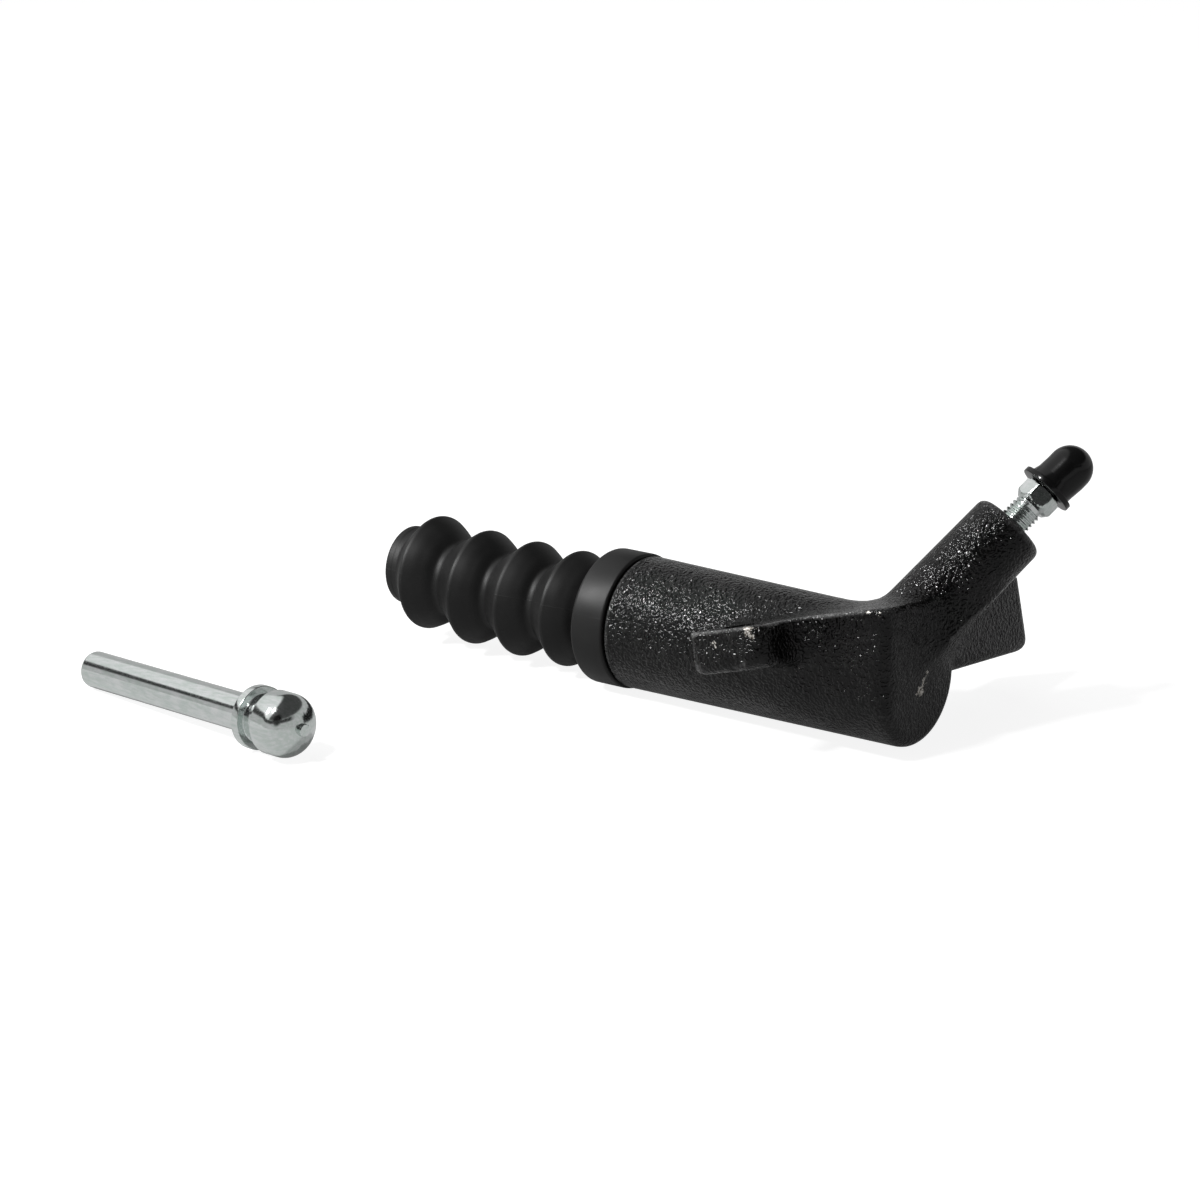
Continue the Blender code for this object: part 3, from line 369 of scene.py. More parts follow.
@dataclass(frozen=True)
class WorkedMetal(Finish):
    """Bare or plated metal with faint tool marks and uneven plating."""

    colour: tuple[float, float, float] = (0.78, 0.80, 0.80)
    tint: tuple[float, float, float] = (0.64, 0.70, 0.67)
    rough: float = 0.2
    grain: Grain = Grain.PLAIN
    mark: float = 0.0000025

    def make(self) -> Material:
        """Build the metal's material.

        Returns:
            The metal.
        """
        made, kit, place = self.open()
        speck = kit.noise(place, 2400.0, 4.0)
        cloud = kit.noise(place, 210.0, 3.0)
        height = speck
        if self.grain is Grain.ROUND:
            along = kit.vector("DOT_PRODUCT", place, (1.0, 0.0, 0.0))
            turns = {"W": kit.times(along.outputs["Value"], 5200.0), "Scale": 1.0, "Detail": 2.0}
            height = kit.add("ShaderNodeTexNoise", turns, noise_dimensions="1D").outputs["Fac"]
        stretched = kit.vector("MULTIPLY", place, (250.0, 1500.0, 1500.0))
        streaks = kit.noise(stretched.outputs[0], 1.0, 3.0)
        mottle = kit.math("MULTIPLY_ADD", streaks, 0.6, kit.times(cloud, 0.4))
        inputs = {
            "Base Color": kit.blend(kit.ramp(mottle, 0.40, 0.60), (*self.colour, 1.0), (*self.tint, 1.0)),
            "Roughness": kit.ramp(speck, 0.3, 0.75, self.rough - 0.04, self.rough + 0.07),
            "Metallic": 1.0,
        }
        self.close(kit, inputs, height, 0.5, self.mark)
        return made


def arc(centre: float, radius_centre: float, radius: float, start: float, end: float, steps: int) -> Profile:
    """Give points of a rounded edge.

    Args:
        centre: The arc's centre along the axis.
        radius_centre: The arc's centre out from the axis.
        radius: The arc's own radius.
        start: First angle in degrees, from along the axis to out from it.
        end: Last angle in degrees.
        steps: How many parts it has.

    Returns:
        Points of height and radius.
    """
    turns = [math.radians(start + (end - start) * step / steps) for step in range(steps + 1)]
    return [(centre + radius * math.cos(turn), radius_centre + radius * math.sin(turn)) for turn in turns]


def rounded(corners: Profile, radius: float, steps: int = 4) -> Profile:
    """Round the inner corners of an open profile.

    Args:
        corners: The profile's corners, of height and radius.
        radius: The rounding, cut down where a side is short.
        steps: Parts of each rounded corner.

    Returns:
        The rounded profile.
    """
    made = [corners[0]]
    for before, here, after in zip(corners, corners[1:], corners[2:]):
        corner = Vector(here)
        first = Vector(before) - corner
        second = Vector(after) - corner
        straight = abs(first.normalized().dot(second.normalized())) > 0.999
        if straight or first.length < 1e-7 or second.length < 1e-7:
            made.append(here)
            continue
        reach = min(radius, first.length * 0.45, second.length * 0.45)
        start = corner + first.normalized() * reach
        end = corner + second.normalized() * reach
        for step in range(steps + 1):
            part = step / steps
            bend = start * (1 - part) ** 2 + corner * (2 * part * (1 - part)) + end * part**2
            made.append((bend.x, bend.y))
    made.append(corners[-1])
    return made


def as_mesh(shape: bmesh.types.BMesh, name: str) -> Mesh:
    """Make a mesh of a bmesh, which is freed.

    Args:
        shape: The bmesh.
        name: The mesh's name.

    Returns:
        The mesh.
    """
    mesh = bpy.data.meshes.new(name)
    shape.to_mesh(mesh)
    shape.free()
    return mesh


def merged(node: Object) -> bmesh.types.BMesh:
    """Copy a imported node's loose triangles and merge them.

    Args:
        node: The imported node.

    Returns:
        The merged copy.
    """
    shape = bmesh.new()
    shape.from_mesh(node.data)
    bmesh.ops.remove_doubles(shape, verts=shape.verts, dist=WELD)
    return shape


def walled(name: str, rows: list[list[Spot]], place: Matrix, sharp_deg: float, ends: bool = False) -> Mesh:
    """Join rows of points into one smooth closed wall.

    Args:
        name: The mesh's name.
        rows: Rings of points, or single points on the axis.
        place: Where the shape goes.
        sharp_deg: From which angle an edge stays sharp.
        ends: Whether the first and the last ring get a face.

    Returns:
        A closed mesh whose faces point outwards.
    """
    shape = bmesh.new()
    rings = [[shape.verts.new(spot) for spot in row] for row in rows]
    for low, high in zip(rings, rings[1:]):
        steps = max(len(low), len(high))
        for step in range(steps if steps > 1 else 0):
            after = (step + 1) % steps
            corners = [low[step % len(low)], low[after % len(low)]]
            corners += [high[after % len(high)], high[step % len(high)]]
            shape.faces.new(list(dict.fromkeys(corners)))
    if ends:
        shape.faces.new(list(reversed(rings[0])))
        shape.faces.new(rings[-1])
    bmesh.ops.recalc_face_normals(shape, faces=shape.faces)
    bmesh.ops.transform(shape, matrix=place, verts=shape.verts)
    for face in shape.faces:
        face.smooth = True
    mesh = as_mesh(shape, name)
    mesh.set_sharp_from_angle(angle=math.radians(sharp_deg))
    return mesh


def turned(name: str, profile: Profile, place: Matrix, steps: int = 128) -> Mesh:
    """Turn a profile round local Z.

    Args:
        name: The mesh's name.
        profile: Points of height and radius, from the axis to the axis.
        place: Where the turned shape goes.
        steps: Faces round the axis.

    Returns:
        A closed mesh whose faces point outwards.
    """
    rows = []
    for height, radius in profile:
        count = 1 if radius < 1e-9 else steps
        turns = [2 * math.pi * step / steps for step in range(count)]
        rows.append([(radius * math.cos(turn), radius * math.sin(turn), height) for turn in turns])
    return walled(name, rows, place, sharp_deg=35)


def stand(name: str, data: Mesh | Camera | Light, material: Material | None = None) -> Object:
    """Put a mesh, a camera or a lamp in the scene at the origin.

    Args:
        name: The object's name.
        data: What it shows; a mesh is already in place.
        material: The mesh's finish, if it has none yet.

    Returns:
        The new object.
    """
    made = bpy.data.objects.new(name, data)
    bpy.context.scene.collection.objects.link(made)
    if material is not None:
        data.materials.clear()
        data.materials.append(material)
    return made


def settle(obj: Object) -> None:
    """Turn an object's modifiers into plain mesh.

    Args:
        obj: The object, whose mesh is replaced.
    """
    bpy.context.view_layer.update()
    graph = bpy.context.evaluated_depsgraph_get()
    made = bpy.data.meshes.new_from_object(obj.evaluated_get(graph))
    old = obj.data
    obj.modifiers.clear()
    obj.data = made
    bpy.data.meshes.remove(old)


def joined(target: Object, tool: Object, operation: str) -> None:
    """Join or cut one solid with another and drop the tool.

    Args:
        target: The solid that is changed.
        tool: The other solid.
        operation: UNION or DIFFERENCE.
    """
    step = target.modifiers.new("join", "BOOLEAN")
    step.operation = operation
    step.solver = "EXACT"
    step.object = tool
    settle(target)
    bpy.data.objects.remove(tool, do_unlink=True)


def set_out(obj: Object, place: Matrix, close: bool = False) -> None:
    """Put a tree's result in its place with its faces outwards.

    Args:
        obj: The object, whose mesh is changed.
        place: Where its mesh goes.
        close: Whether open ends are filled.
    """
    shape = bmesh.new()
    shape.from_mesh(obj.data)
    bmesh.ops.transform(shape, matrix=place, verts=shape.verts)
    if close:
        bmesh.ops.holes_fill(shape, edges=shape.edges, sides=0)
    bmesh.ops.recalc_face_normals(shape, faces=shape.faces)
    shape.to_mesh(obj.data)
    shape.free()


@dataclass
class Casting:
    """The one-piece body: barrel, sloping face with its lugs, and angled boss."""

    voxel: float = 0.00043
    smooth_rounds: int = 4
    fillet_rounds: int = 30
    fillet_pull: float = 0.7
    blend_rounds: int = 320
    blend_reach: float = 0.020
    blend_top: float = 0.032
    blend_fade: float = 0.006
    corner_rounds: int = 70
    corner_pull: float = 0.6
    # Convexity where the edges' painted highlight and wear begin, and over what range they reach full
    # strength.
    sheen_and_wear_start: float = 0.000013
    sheen_and_wear_range: float = 0.00002
    sharp_deg: float = 48.0
    bore_radius: float = 0.009525
    bore_bottom: float = -0.0075
    mouth: float = -0.0815
    boss_end: float = 0.0444
    bleed_radius: float = 0.0035
    port_end: float = 0.0210
    port_radius: float = 0.0046
    bolt_radius: float = 0.00425
    front_hole: tuple[float, float] = (-0.03305, -0.0207)
    rear_hole: tuple[float, float] = (-0.01595, 0.0415)
    snap_groove: Spot = (-0.0773, -0.0791, 0.0106)
    foot: float = 0.0085
    drilling_end: float = 0.0060
    bore_plug: float = 0.0109
    bleed_plug: float = 0.0049
    port_plug: float = 0.0061
    bolt_plug: float = 0.0046
    lug_depth: float = 0.00925
    arm_depth: float = 0.0167
    skin_gap: float = 0.00002

    def holes(self) -> list[Matrix]:
        """Give the places of the front and the rear bolt hole."""
        return [FACE_PLACE @ Matrix.Translation((*spot, 0)) for spot in (self.front_hole, self.rear_hole)]

    def plugs(self) -> list[Mesh]:
        """Fill the machined holes, so that the cast skin is made without them.

        Returns:
            One solid for each hole.
        """
        front, rear = self.holes()
        gap = self.skin_gap
        rows = (
            (self.mouth + gap, self.bore_bottom + 0.0006, self.bore_plug, ALONG_X),
            (self.foot, self.boss_end - gap, self.bleed_plug, BOSS_PLACE),
            (self.foot, self.port_end - gap, self.port_plug, PORT_PLACE),
            (-self.lug_depth, -gap, self.bolt_plug, front),
            (-self.arm_depth, -gap, self.bolt_plug, rear),
        )
        made = []
        for low, high, out, place in rows:
            made.append(turned("plug", [(low, 0), (low, out), (high, out), (high, 0)], place, 48))
        return made

    def flares(self) -> list[Mesh]:
        """Make the metal round the boss's foot, and the ridge from the boss to the end face's middle.

        Returns:
            Two solids that go into the cast skin.
        """
        low = [(-0.0004, 0.0036, 0.0026), (-0.0004, 0.0006, 0.0004), (-0.0004, -0.0070, 0.0010)]
        foot = [*low, (-0.0006, -0.0120, 0.0080), (-0.0006, -0.0120, 0.0140), (-0.0014, -0.0080, 0.0172)]
        round_foot = [(0.0086, 15.0 * step, 0.0160) for step in range(24)]
        side = (BOSS_PLACE.inverted().to_3x3() @ Vector((0.82, 0.07, -0.57))).normalized()
        middle = math.degrees(math.atan2(side.y, side.x))
        ridge = [(0.0085, middle + 6.0 * step, 0.0370) for step in (-1, 0, 1)]
        ridge += [(0.0086, middle + 10.0 * step, 0.0150) for step in range(-8, 5)]
        return [self.hull(foot, round_foot), self.hull(low, ridge)]

    def hull(self, own: list[Spot], on_boss: list[Spot]) -> Mesh:
        """Wrap points in the smallest solid without hollows.

        Args:
            own: Points in the cylinder's frame.
            on_boss: Points on the boss: radius, angle in degrees and height.

        Returns:
            The closed solid.
        """
        shape = bmesh.new()
        for spot in own:
            shape.verts.new(Vector(spot) + SHIFT)
        for radius, degrees, height in on_boss:
            angle = math.radians(degrees)
            shape.verts.new(BOSS_PLACE @ Vector((radius * math.cos(angle), radius * math.sin(angle), height)))
        made = bmesh.ops.convex_hull(shape, input=shape.verts)
        inner = made["geom_interior"] + made["geom_unused"]
        loose = [item for item in inner if isinstance(item, bmesh.types.BMVert)]
        bmesh.ops.delete(shape, geom=list(dict.fromkeys(loose)), context="VERTS")
        bmesh.ops.recalc_face_normals(shape, faces=shape.faces)
        return as_mesh(shape, "boss_flare")

    def drilled(self, end: float, radius: float, chamfer: float, cone: Spot) -> Profile:
        """Give a chamfered hole with a cone at its foot and a narrow drilling on towards the bore.

        Args:
            end: Where the boss ends.
            radius: The hole's radius.
            chamfer: How much wider the chamfer is.
            cone: Where the cone starts and ends, and the drilling's radius.

        Returns:
            The hole's profile.
        """
        start, tip, narrow = cone
        mouth = [(end + 0.001, 0), (end + 0.001, radius + chamfer), (end - 0.0010, radius)]
        way = [(tip, narrow), (self.drilling_end, narrow), (self.drilling_end, 0)]
        return [*mouth, (start, radius), *way]

    def cutters(self) -> list[Mesh]:
        """Make the drilled and bored shapes.

        Returns:
            The bore, the two drilled holes and the two bolt holes.
        """
        front, rear = self.holes()
        groove_low, groove_high, groove_radius = self.snap_groove
        wide = self.bore_radius
        bore = [
            (self.bore_bottom, 0), (self.bore_bottom, wide - 0.0006), (self.bore_bottom - 0.0006, wide),
            (groove_low, wide), (groove_low, groove_radius), (groove_high, groove_radius),
            (groove_high, wide), (self.mouth + 0.0008, wide), (self.mouth - 0.0010, wide + 0.0018),
            (self.mouth - 0.0010, 0),
        ]
        bleed = self.drilled(self.boss_end, self.bleed_radius, 0.0019, (0.0282, 0.0260, 0.0013))
        cone = (self.port_end - 0.0095, self.port_end - 0.0113, 0.0015)
        port = self.drilled(self.port_end, self.port_radius, 0.0015, cone)
        hole = [(-0.030, 0), (-0.030, self.bolt_radius), (0.010, self.bolt_radius), (0.010, 0)]
        return [
            turned("bore", bore, ALONG_X, 128),
            turned("bleed", bleed, BOSS_PLACE, 64),
            turned("port", port, PORT_PLACE, 64),
            turned("front_hole", hole, front, 64),
            turned("rear_hole", hole, rear, 64),
        ]

    def near_blend(self, spots: np.ndarray) -> np.ndarray:
        """Weigh how far each point takes part in the boss's wide blend, from 0 to 1.

        Args:
            spots: The skin's points.

        Returns:
            One weight for each point.
        """
        place = np.array(BOSS_PLACE.inverted())
        local = spots @ place[:3, :3].T + place[:3, 3]
        out = np.hypot(local[:, 0], local[:, 1])
        near = np.clip((self.blend_reach - out) / self.blend_fade, 0, 1)
        return near * np.clip((self.blend_top - local[:, 2]) / self.blend_fade, 0, 1)

    def near_corner(self, spots: np.ndarray) -> np.ndarray:
        """Weigh how near each point is to a soft corner: the end face's and the lug's, from 0 to 1.

        Args:
            spots: The skin's points.

        Returns:
            One weight for each point.
        """
        own = spots - np.array(SHIFT)
        along = np.clip((own[:, 0] + 0.0065) / 0.003, 0, 1)
        side = np.clip((0.0060 - own[:, 1]) / 0.003, 0, 1)
        low = np.clip((own[:, 2] + 0.004) / 0.006, 0, 1)
        lug = np.clip((0.0042 - np.hypot(own[:, 0] + 0.0215, own[:, 1] + 0.0285)) / 0.0022, 0, 1)
        return np.maximum(along * side * low, lug)

    def soften(self, mesh: Mesh) -> None:
        """Fill the inner corners, round the soft corners and mark the outer edges for their painted highlight
        and wear.

        Args:
            mesh: The skin, which is changed. It gets the attribute edge_highlight_and_wear.
        """
        count = len(mesh.vertices)
        spots = np.empty(count * 3)
        mesh.vertices.foreach_get("co", spots)
        spots = spots.reshape(-1, 3)
        ends = np.empty(len(mesh.edges) * 2, dtype=np.int32)
        mesh.edges.foreach_get("vertices", ends)
        first, second = ends.reshape(-1, 2).T
        links = np.bincount(first, minlength=count) + np.bincount(second, minlength=count)

        def mean(values: np.ndarray) -> np.ndarray:
            """Average each point's neighbours."""
            total = np.bincount(first, values[second], count) + np.bincount(second, values[first], count)
            return total / links

        def lean() -> np.ndarray:
            """Give the way from each point to the middle of its neighbours."""
            return np.stack([mean(spots[:, axis]) for axis in range(3)], axis=1) - spots

        def normals() -> np.ndarray:
            """Give each point's normal now.

            Returns:
                One unit vector for each point.
            """
            mesh.vertices.foreach_set("co", spots.ravel())
            mesh.update()
            found = np.empty(count * 3)
            mesh.vertex_normals.foreach_get("vector", found)
            return found.reshape(-1, 3)

        blend = self.near_blend(spots)
        corner = self.near_corner(spots)[:, None]
        for _ in range(self.corner_rounds):
            spots += lean() * corner * self.corner_pull
        for turn in range(self.blend_rounds):
            if turn % 10 == 0:
                outward = normals()
            weight = np.ones(count) if turn < self.fillet_rounds else blend
            fill = np.maximum((lean() * outward).sum(axis=1), 0.0) * weight * self.fillet_pull
            spots += outward * fill[:, None]
        outward = normals()
        # How convex each point is, for the edges' painted highlight and wear.
        edge_sheen_and_wear = -(lean() * outward).sum(axis=1)
        for _ in range(2):
            edge_sheen_and_wear = 0.5 * edge_sheen_and_wear + 0.5 * mean(edge_sheen_and_wear)
        marks = mesh.attributes.new("edge_highlight_and_wear", "FLOAT", "POINT")
        marks.data.foreach_set("value", np.clip((edge_sheen_and_wear - self.sheen_and_wear_start) / self.sheen_and_wear_range, 0, 1))

    def build(self, node: Object, material: Material) -> Object:
        """Make the cast skin with its fillets, and cut the machined holes.

        Args:
            node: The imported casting, whose mesh is copied.
            material: The paint.

        Returns:
            The finished casting.
        """
        shape = merged(node)
        for plug in (*self.plugs(), *self.flares()):
            shape.from_mesh(plug)
            bpy.data.meshes.remove(plug)
        body = stand("casting", as_mesh(shape, "casting"))
        skin = body.modifiers.new("skin", "REMESH")
        skin.mode = "VOXEL"
        skin.voxel_size = self.voxel
        skin.use_smooth_shade = True
        soften = body.modifiers.new("soften", "SMOOTH")
        soften.factor = 0.5
        soften.iterations = self.smooth_rounds
        settle(body)
        self.soften(body.data)
        tools = [stand("tool", tool) for tool in self.cutters()]
        for extra in tools[1:3]:
            joined(tools[0], extra, "UNION")
        for extra in tools[3:]:
            joined(body, extra, "DIFFERENCE")
        joined(body, tools[0], "DIFFERENCE")
        body.data.materials.clear()
        body.data.materials.append(material)
        for face in body.data.polygons:
            face.material_index = 0
            face.use_smooth = True
        body.data.set_sharp_from_angle(angle=math.radians(self.sharp_deg))
        return body


class FormTree:
    """A geometry tree with named inputs that ends in real mesh with its finish."""

    def __init__(self, name: str, inputs: dict[str, str]) -> None:
        """Open the tree.

        Args:
            name: The tree's name.
            inputs: The kind of each input by its name.
        """
        self.tree = bpy.data.node_groups.new(name, "GeometryNodeTree")
        face = self.tree.interface
        face.new_socket("Geometry", in_out="INPUT", socket_type="NodeSocketGeometry")
        self.keys: dict[str, str] = {}
        for title, kind in (*inputs.items(), ("Finish", "Material")):
            socket = face.new_socket(title, in_out="INPUT", socket_type=f"NodeSocket{kind}")
            self.keys[title] = socket.identifier
        face.new_socket("Geometry", in_out="OUTPUT", socket_type="NodeSocketGeometry")
        self.kit = NodeKit(self.tree)
        self.given = self.kit.add("NodeGroupInput").outputs

    def grid(self, rows: object, columns: object) -> tuple[NodeSocket, NodeSocket, NodeSocket]:
        """Start from a grid.

        Args:
            rows: How many points it has along.
            columns: How many points it has across.

        Returns:
            The grid, and each point's row and column.
        """
        kit = self.kit
        grid = kit.add("GeometryNodeMeshGrid", {"Vertices X": rows, "Vertices Y": columns})
        index = kit.add("GeometryNodeInputIndex").outputs[0]
        row = kit.math("FLOOR", kit.math("DIVIDE", kit.math("ADD", index, 0.5), columns))
        return grid.outputs["Mesh"], row, kit.math("SUBTRACT", index, kit.times(row, columns))

    def moved(self, shape: NodeSocket, x: object, y: object, z: object) -> NodeSocket:
        """Move each point of a shape to its own place.

        Args:
            shape: The shape.
            x: Along X.
            y: Along Y.
            z: Along Z.

        Returns:
            The moved shape.
        """
        spot = self.kit.add("ShaderNodeCombineXYZ", {0: x, 1: y, 2: z})
        inputs = {"Geometry": shape, "Position": spot.outputs[0]}
        return self.kit.add("GeometryNodeSetPosition", inputs).outputs[0]

    def close(self, shape: NodeSocket) -> None:
        """End the tree with Realize Instances and Set Material.

        Args:
            shape: The finished shape.
        """
        real = self.kit.add("GeometryNodeRealizeInstances", {"Geometry": shape})
        inputs = {"Geometry": real.outputs[0], "Material": self.given["Finish"]}
        dressed = self.kit.add("GeometryNodeSetMaterial", inputs)
        self.kit.add("NodeGroupOutput", {0: dressed.outputs[0]})

    def run(self, obj: Object, values: dict[str, object]) -> None:
        """Work on an object with the tree and leave plain mesh.

        Args:
            obj: The object, whose mesh is replaced.
            values: The value of each input by its name.
        """
        step = obj.modifiers.new("form", "NODES")
        step.node_group = self.tree
        for title, value in values.items():
            step[self.keys[title]] = value
        settle(obj)


class TurnTree(FormTree):
    """Turns a profile mesh round the bore's axis, with a lift."""

    def __init__(self) -> None:
        """Build the tree."""
        inputs = {"Profile Points": "Int", "Steps Round": "Int", "Weld Distance": "Float"}
        super().__init__("turned_form", inputs)
        kit, given = self.kit, self.given
        columns = kit.math("ADD", given["Steps Round"], 1.0)
        grid, row, column = self.grid(given["Profile Points"], columns)
        angle = kit.times(kit.math("DIVIDE", column, given["Steps Round"]), 2 * math.pi)
        place = kit.add("GeometryNodeInputPosition").outputs[0]
        point = kit.add("GeometryNodeSampleIndex", data_type="FLOAT_VECTOR")
        kit.feed(point, {"Geometry": given["Geometry"], "Value": place, "Index": row})
        parts = kit.add("ShaderNodeSeparateXYZ", {0: point.outputs[0]}).outputs
        side = kit.times(parts["Y"], kit.math("COSINE", angle))
        rise = kit.math("ADD", kit.times(parts["Y"], kit.math("SINE", angle)), parts["Z"])
        shape = self.moved(grid, parts["X"], side, rise)
        inputs = {"Geometry": shape, "Distance": given["Weld Distance"]}
        welded = kit.add("GeometryNodeMergeByDistance", inputs)
        smooth = kit.add("GeometryNodeSetShadeSmooth", {"Geometry": welded.outputs[0]})
        self.close(smooth.outputs[0])


@dataclass
class DustBoot:
    """The folded boot: collar, four folds and the neck that grips the push rod."""

    start: float = -0.0738
    shoulder: float = -0.0735
    collar_radius: float = 0.0154
    collar_bore: float = 0.0139
    bead_radius: float = 0.0127
    bead: tuple[float, float] = (-0.0765, -0.0785)
    rims: tuple[float, ...] = (-0.0925, -0.1056, -0.1193, -0.1335)
    rim_radius: float = 0.0133
    groove_radius: float = 0.0089
    wall: float = 0.0013
    neck_end: float = -0.1415
    neck_radius: float = 0.0092
    neck_hole: float = 0.0056
    steps: int = 144
    weld: float = 0.000002
    lifts: tuple[tuple[float, float], ...] = (
        (-0.0780, 0.0), (-0.0925, -0.00047), (-0.1056, -0.00055), (-0.1193, -0.00030),
        (-0.1335, 0.00075), (-0.1423, 0.00135),
    )

    def lift(self, x: float) -> float:
        """Give the centre line's rise at a place along the axis.

        Args:
            x: The place.

        Returns:
            The rise.
        """
        if x >= self.lifts[0][0]:
            return 0.0
        for (first, low), (last, high) in zip(self.lifts, self.lifts[1:]):
            if x >= last:
                part = (first - x) / (first - last)
                return low + (high - low) * part * part * (3 - 2 * part)
        return self.lifts[-1][1]

    def grooves(self) -> list[float]:
        """Give the valleys between collar, folds and neck.

        Returns:
            Their places along the axis.
        """
        found = [self.shoulder - 0.0120]
        found += [(first + second) / 2 for first, second in zip(self.rims, self.rims[1:])]
        found.append(self.rims[-1] - 0.0052)
        return found

    def profile(self) -> Profile:
        """Give the whole closed profile, outer wall first.

        Returns:
            Points of height and radius, rounded at every fold.
        """
        valleys = self.grooves()
        outer = rounded(
            [
                (self.start, self.collar_bore), (self.start, self.collar_radius),
                (self.shoulder - 0.0087, self.collar_radius),
                (self.shoulder - 0.0098, self.collar_radius - 0.0028),
            ],
            0.0007,
        )
        inner = [
            (self.start, self.collar_bore), (self.bead[0], self.collar_bore),
            (self.bead[0], self.bead_radius), (self.bead[1], self.bead_radius),
            (self.bead[1], self.collar_bore), (-0.0818, self.collar_bore),
        ]
        crest_outer = []
        crest_inner = []
        for number, valley in enumerate(valleys):
            last = number == len(valleys) - 1
            low = self.neck_radius - 0.0001 if last else self.groove_radius
            crest_outer += [(valley + 0.0007, low), (valley - 0.0007, low)]
            crest_inner += [(valley + 0.0005, low - self.wall), (valley - 0.0005, low - self.wall)]
            if not last:
                rim = self.rims[number]
                crest_outer += [
                    (rim + (valley - rim) * 0.69, low + (self.rim_radius - low) * 0.38),
                    (rim + (valley - rim) * 0.37, low + (self.rim_radius - low) * 0.74),
                    (rim + 0.0004, self.rim_radius), (rim - 0.0003, self.rim_radius),
                ]
                inside = self.rim_radius - self.wall
                crest_inner += [(rim + 0.0003, inside), (rim - 0.0003, inside)]
        crest_outer.append((valleys[-1] - 0.0011, self.neck_radius))
        crest_outer += [(self.neck_end, self.neck_radius), (self.neck_end, self.neck_hole)]
        outer += rounded([outer[-1], *crest_outer], 0.0009, 6)[1:]
        crest_inner += [(self.neck_end + 0.0028, self.neck_hole), (self.neck_end, self.neck_hole)]
        inner += rounded(crest_inner, 0.0008)
        return outer + list(reversed(inner))[1:-1]

    def build(self, tree: TurnTree, material: Material) -> Object:
        """Turn the profile with the geometry tree.

        Args:
            tree: The turning tree.
            material: The rubber.

        Returns:
            The finished boot as plain mesh.
        """
        points = self.profile()
        points.append(points[0])
        mesh = bpy.data.meshes.new("boot")
        mesh.from_pydata([(x + SHIFT.x, r, self.lift(x)) for x, r in points], [], [])
        boot = stand("boot", mesh)
        values = {"Profile Points": len(points), "Steps Round": self.steps, "Weld Distance": self.weld}
        tree.run(boot, {**values, "Finish": material})
        set_out(boot, Matrix.Translation((0, SHIFT.y, SHIFT.z)))
        return boot


class ThreadTree(FormTree):
    """Winds a V-shaped ridge round local Z."""

    def __init__(self) -> None:
        """Build the tree."""
        names = ("Crest Radius", "Depth", "Pitch", "Turns")
        super().__init__("screw_thread", {name: "Float" for name in names})
        kit, given = self.kit, self.given
        crest, depth, pitch, turns = (given[name] for name in names)
        steps, run_out, sunk = 64.0, 24.0, 0.00004
        root = kit.math("SUBTRACT", crest, depth)
        count = kit.math("MULTIPLY_ADD", turns, steps, 1.0)
        line, row, column = self.grid(count, 4)
        angle = kit.times(row, 2 * math.pi / steps)
        climb = kit.times(kit.math("DIVIDE", row, steps), pitch)
        inner = kit.math("COMPARE", kit.math("ABSOLUTE", kit.math("SUBTRACT", column, 1.5)), 0.5, 0.1)
        ends = kit.math("MINIMUM", row, kit.math("SUBTRACT", kit.math("SUBTRACT", count, 1.0), row))
        out = kit.times(kit.times(inner, depth), kit.ramp(ends, 0.0, run_out))
        radius = kit.math("ADD", kit.math("SUBTRACT", root, sunk), out)
        wide = kit.math("SUBTRACT", kit.times(column, 1.0 / 3.0), 0.5)
        along = kit.times(kit.times(wide, kit.math("MULTIPLY_ADD", inner, -0.55, 0.92)), pitch)
        side = kit.times(radius, kit.math("COSINE", angle))
        aside = kit.times(radius, kit.math("SINE", angle))
        self.close(self.moved(line, side, aside, kit.math("ADD", climb, along)))


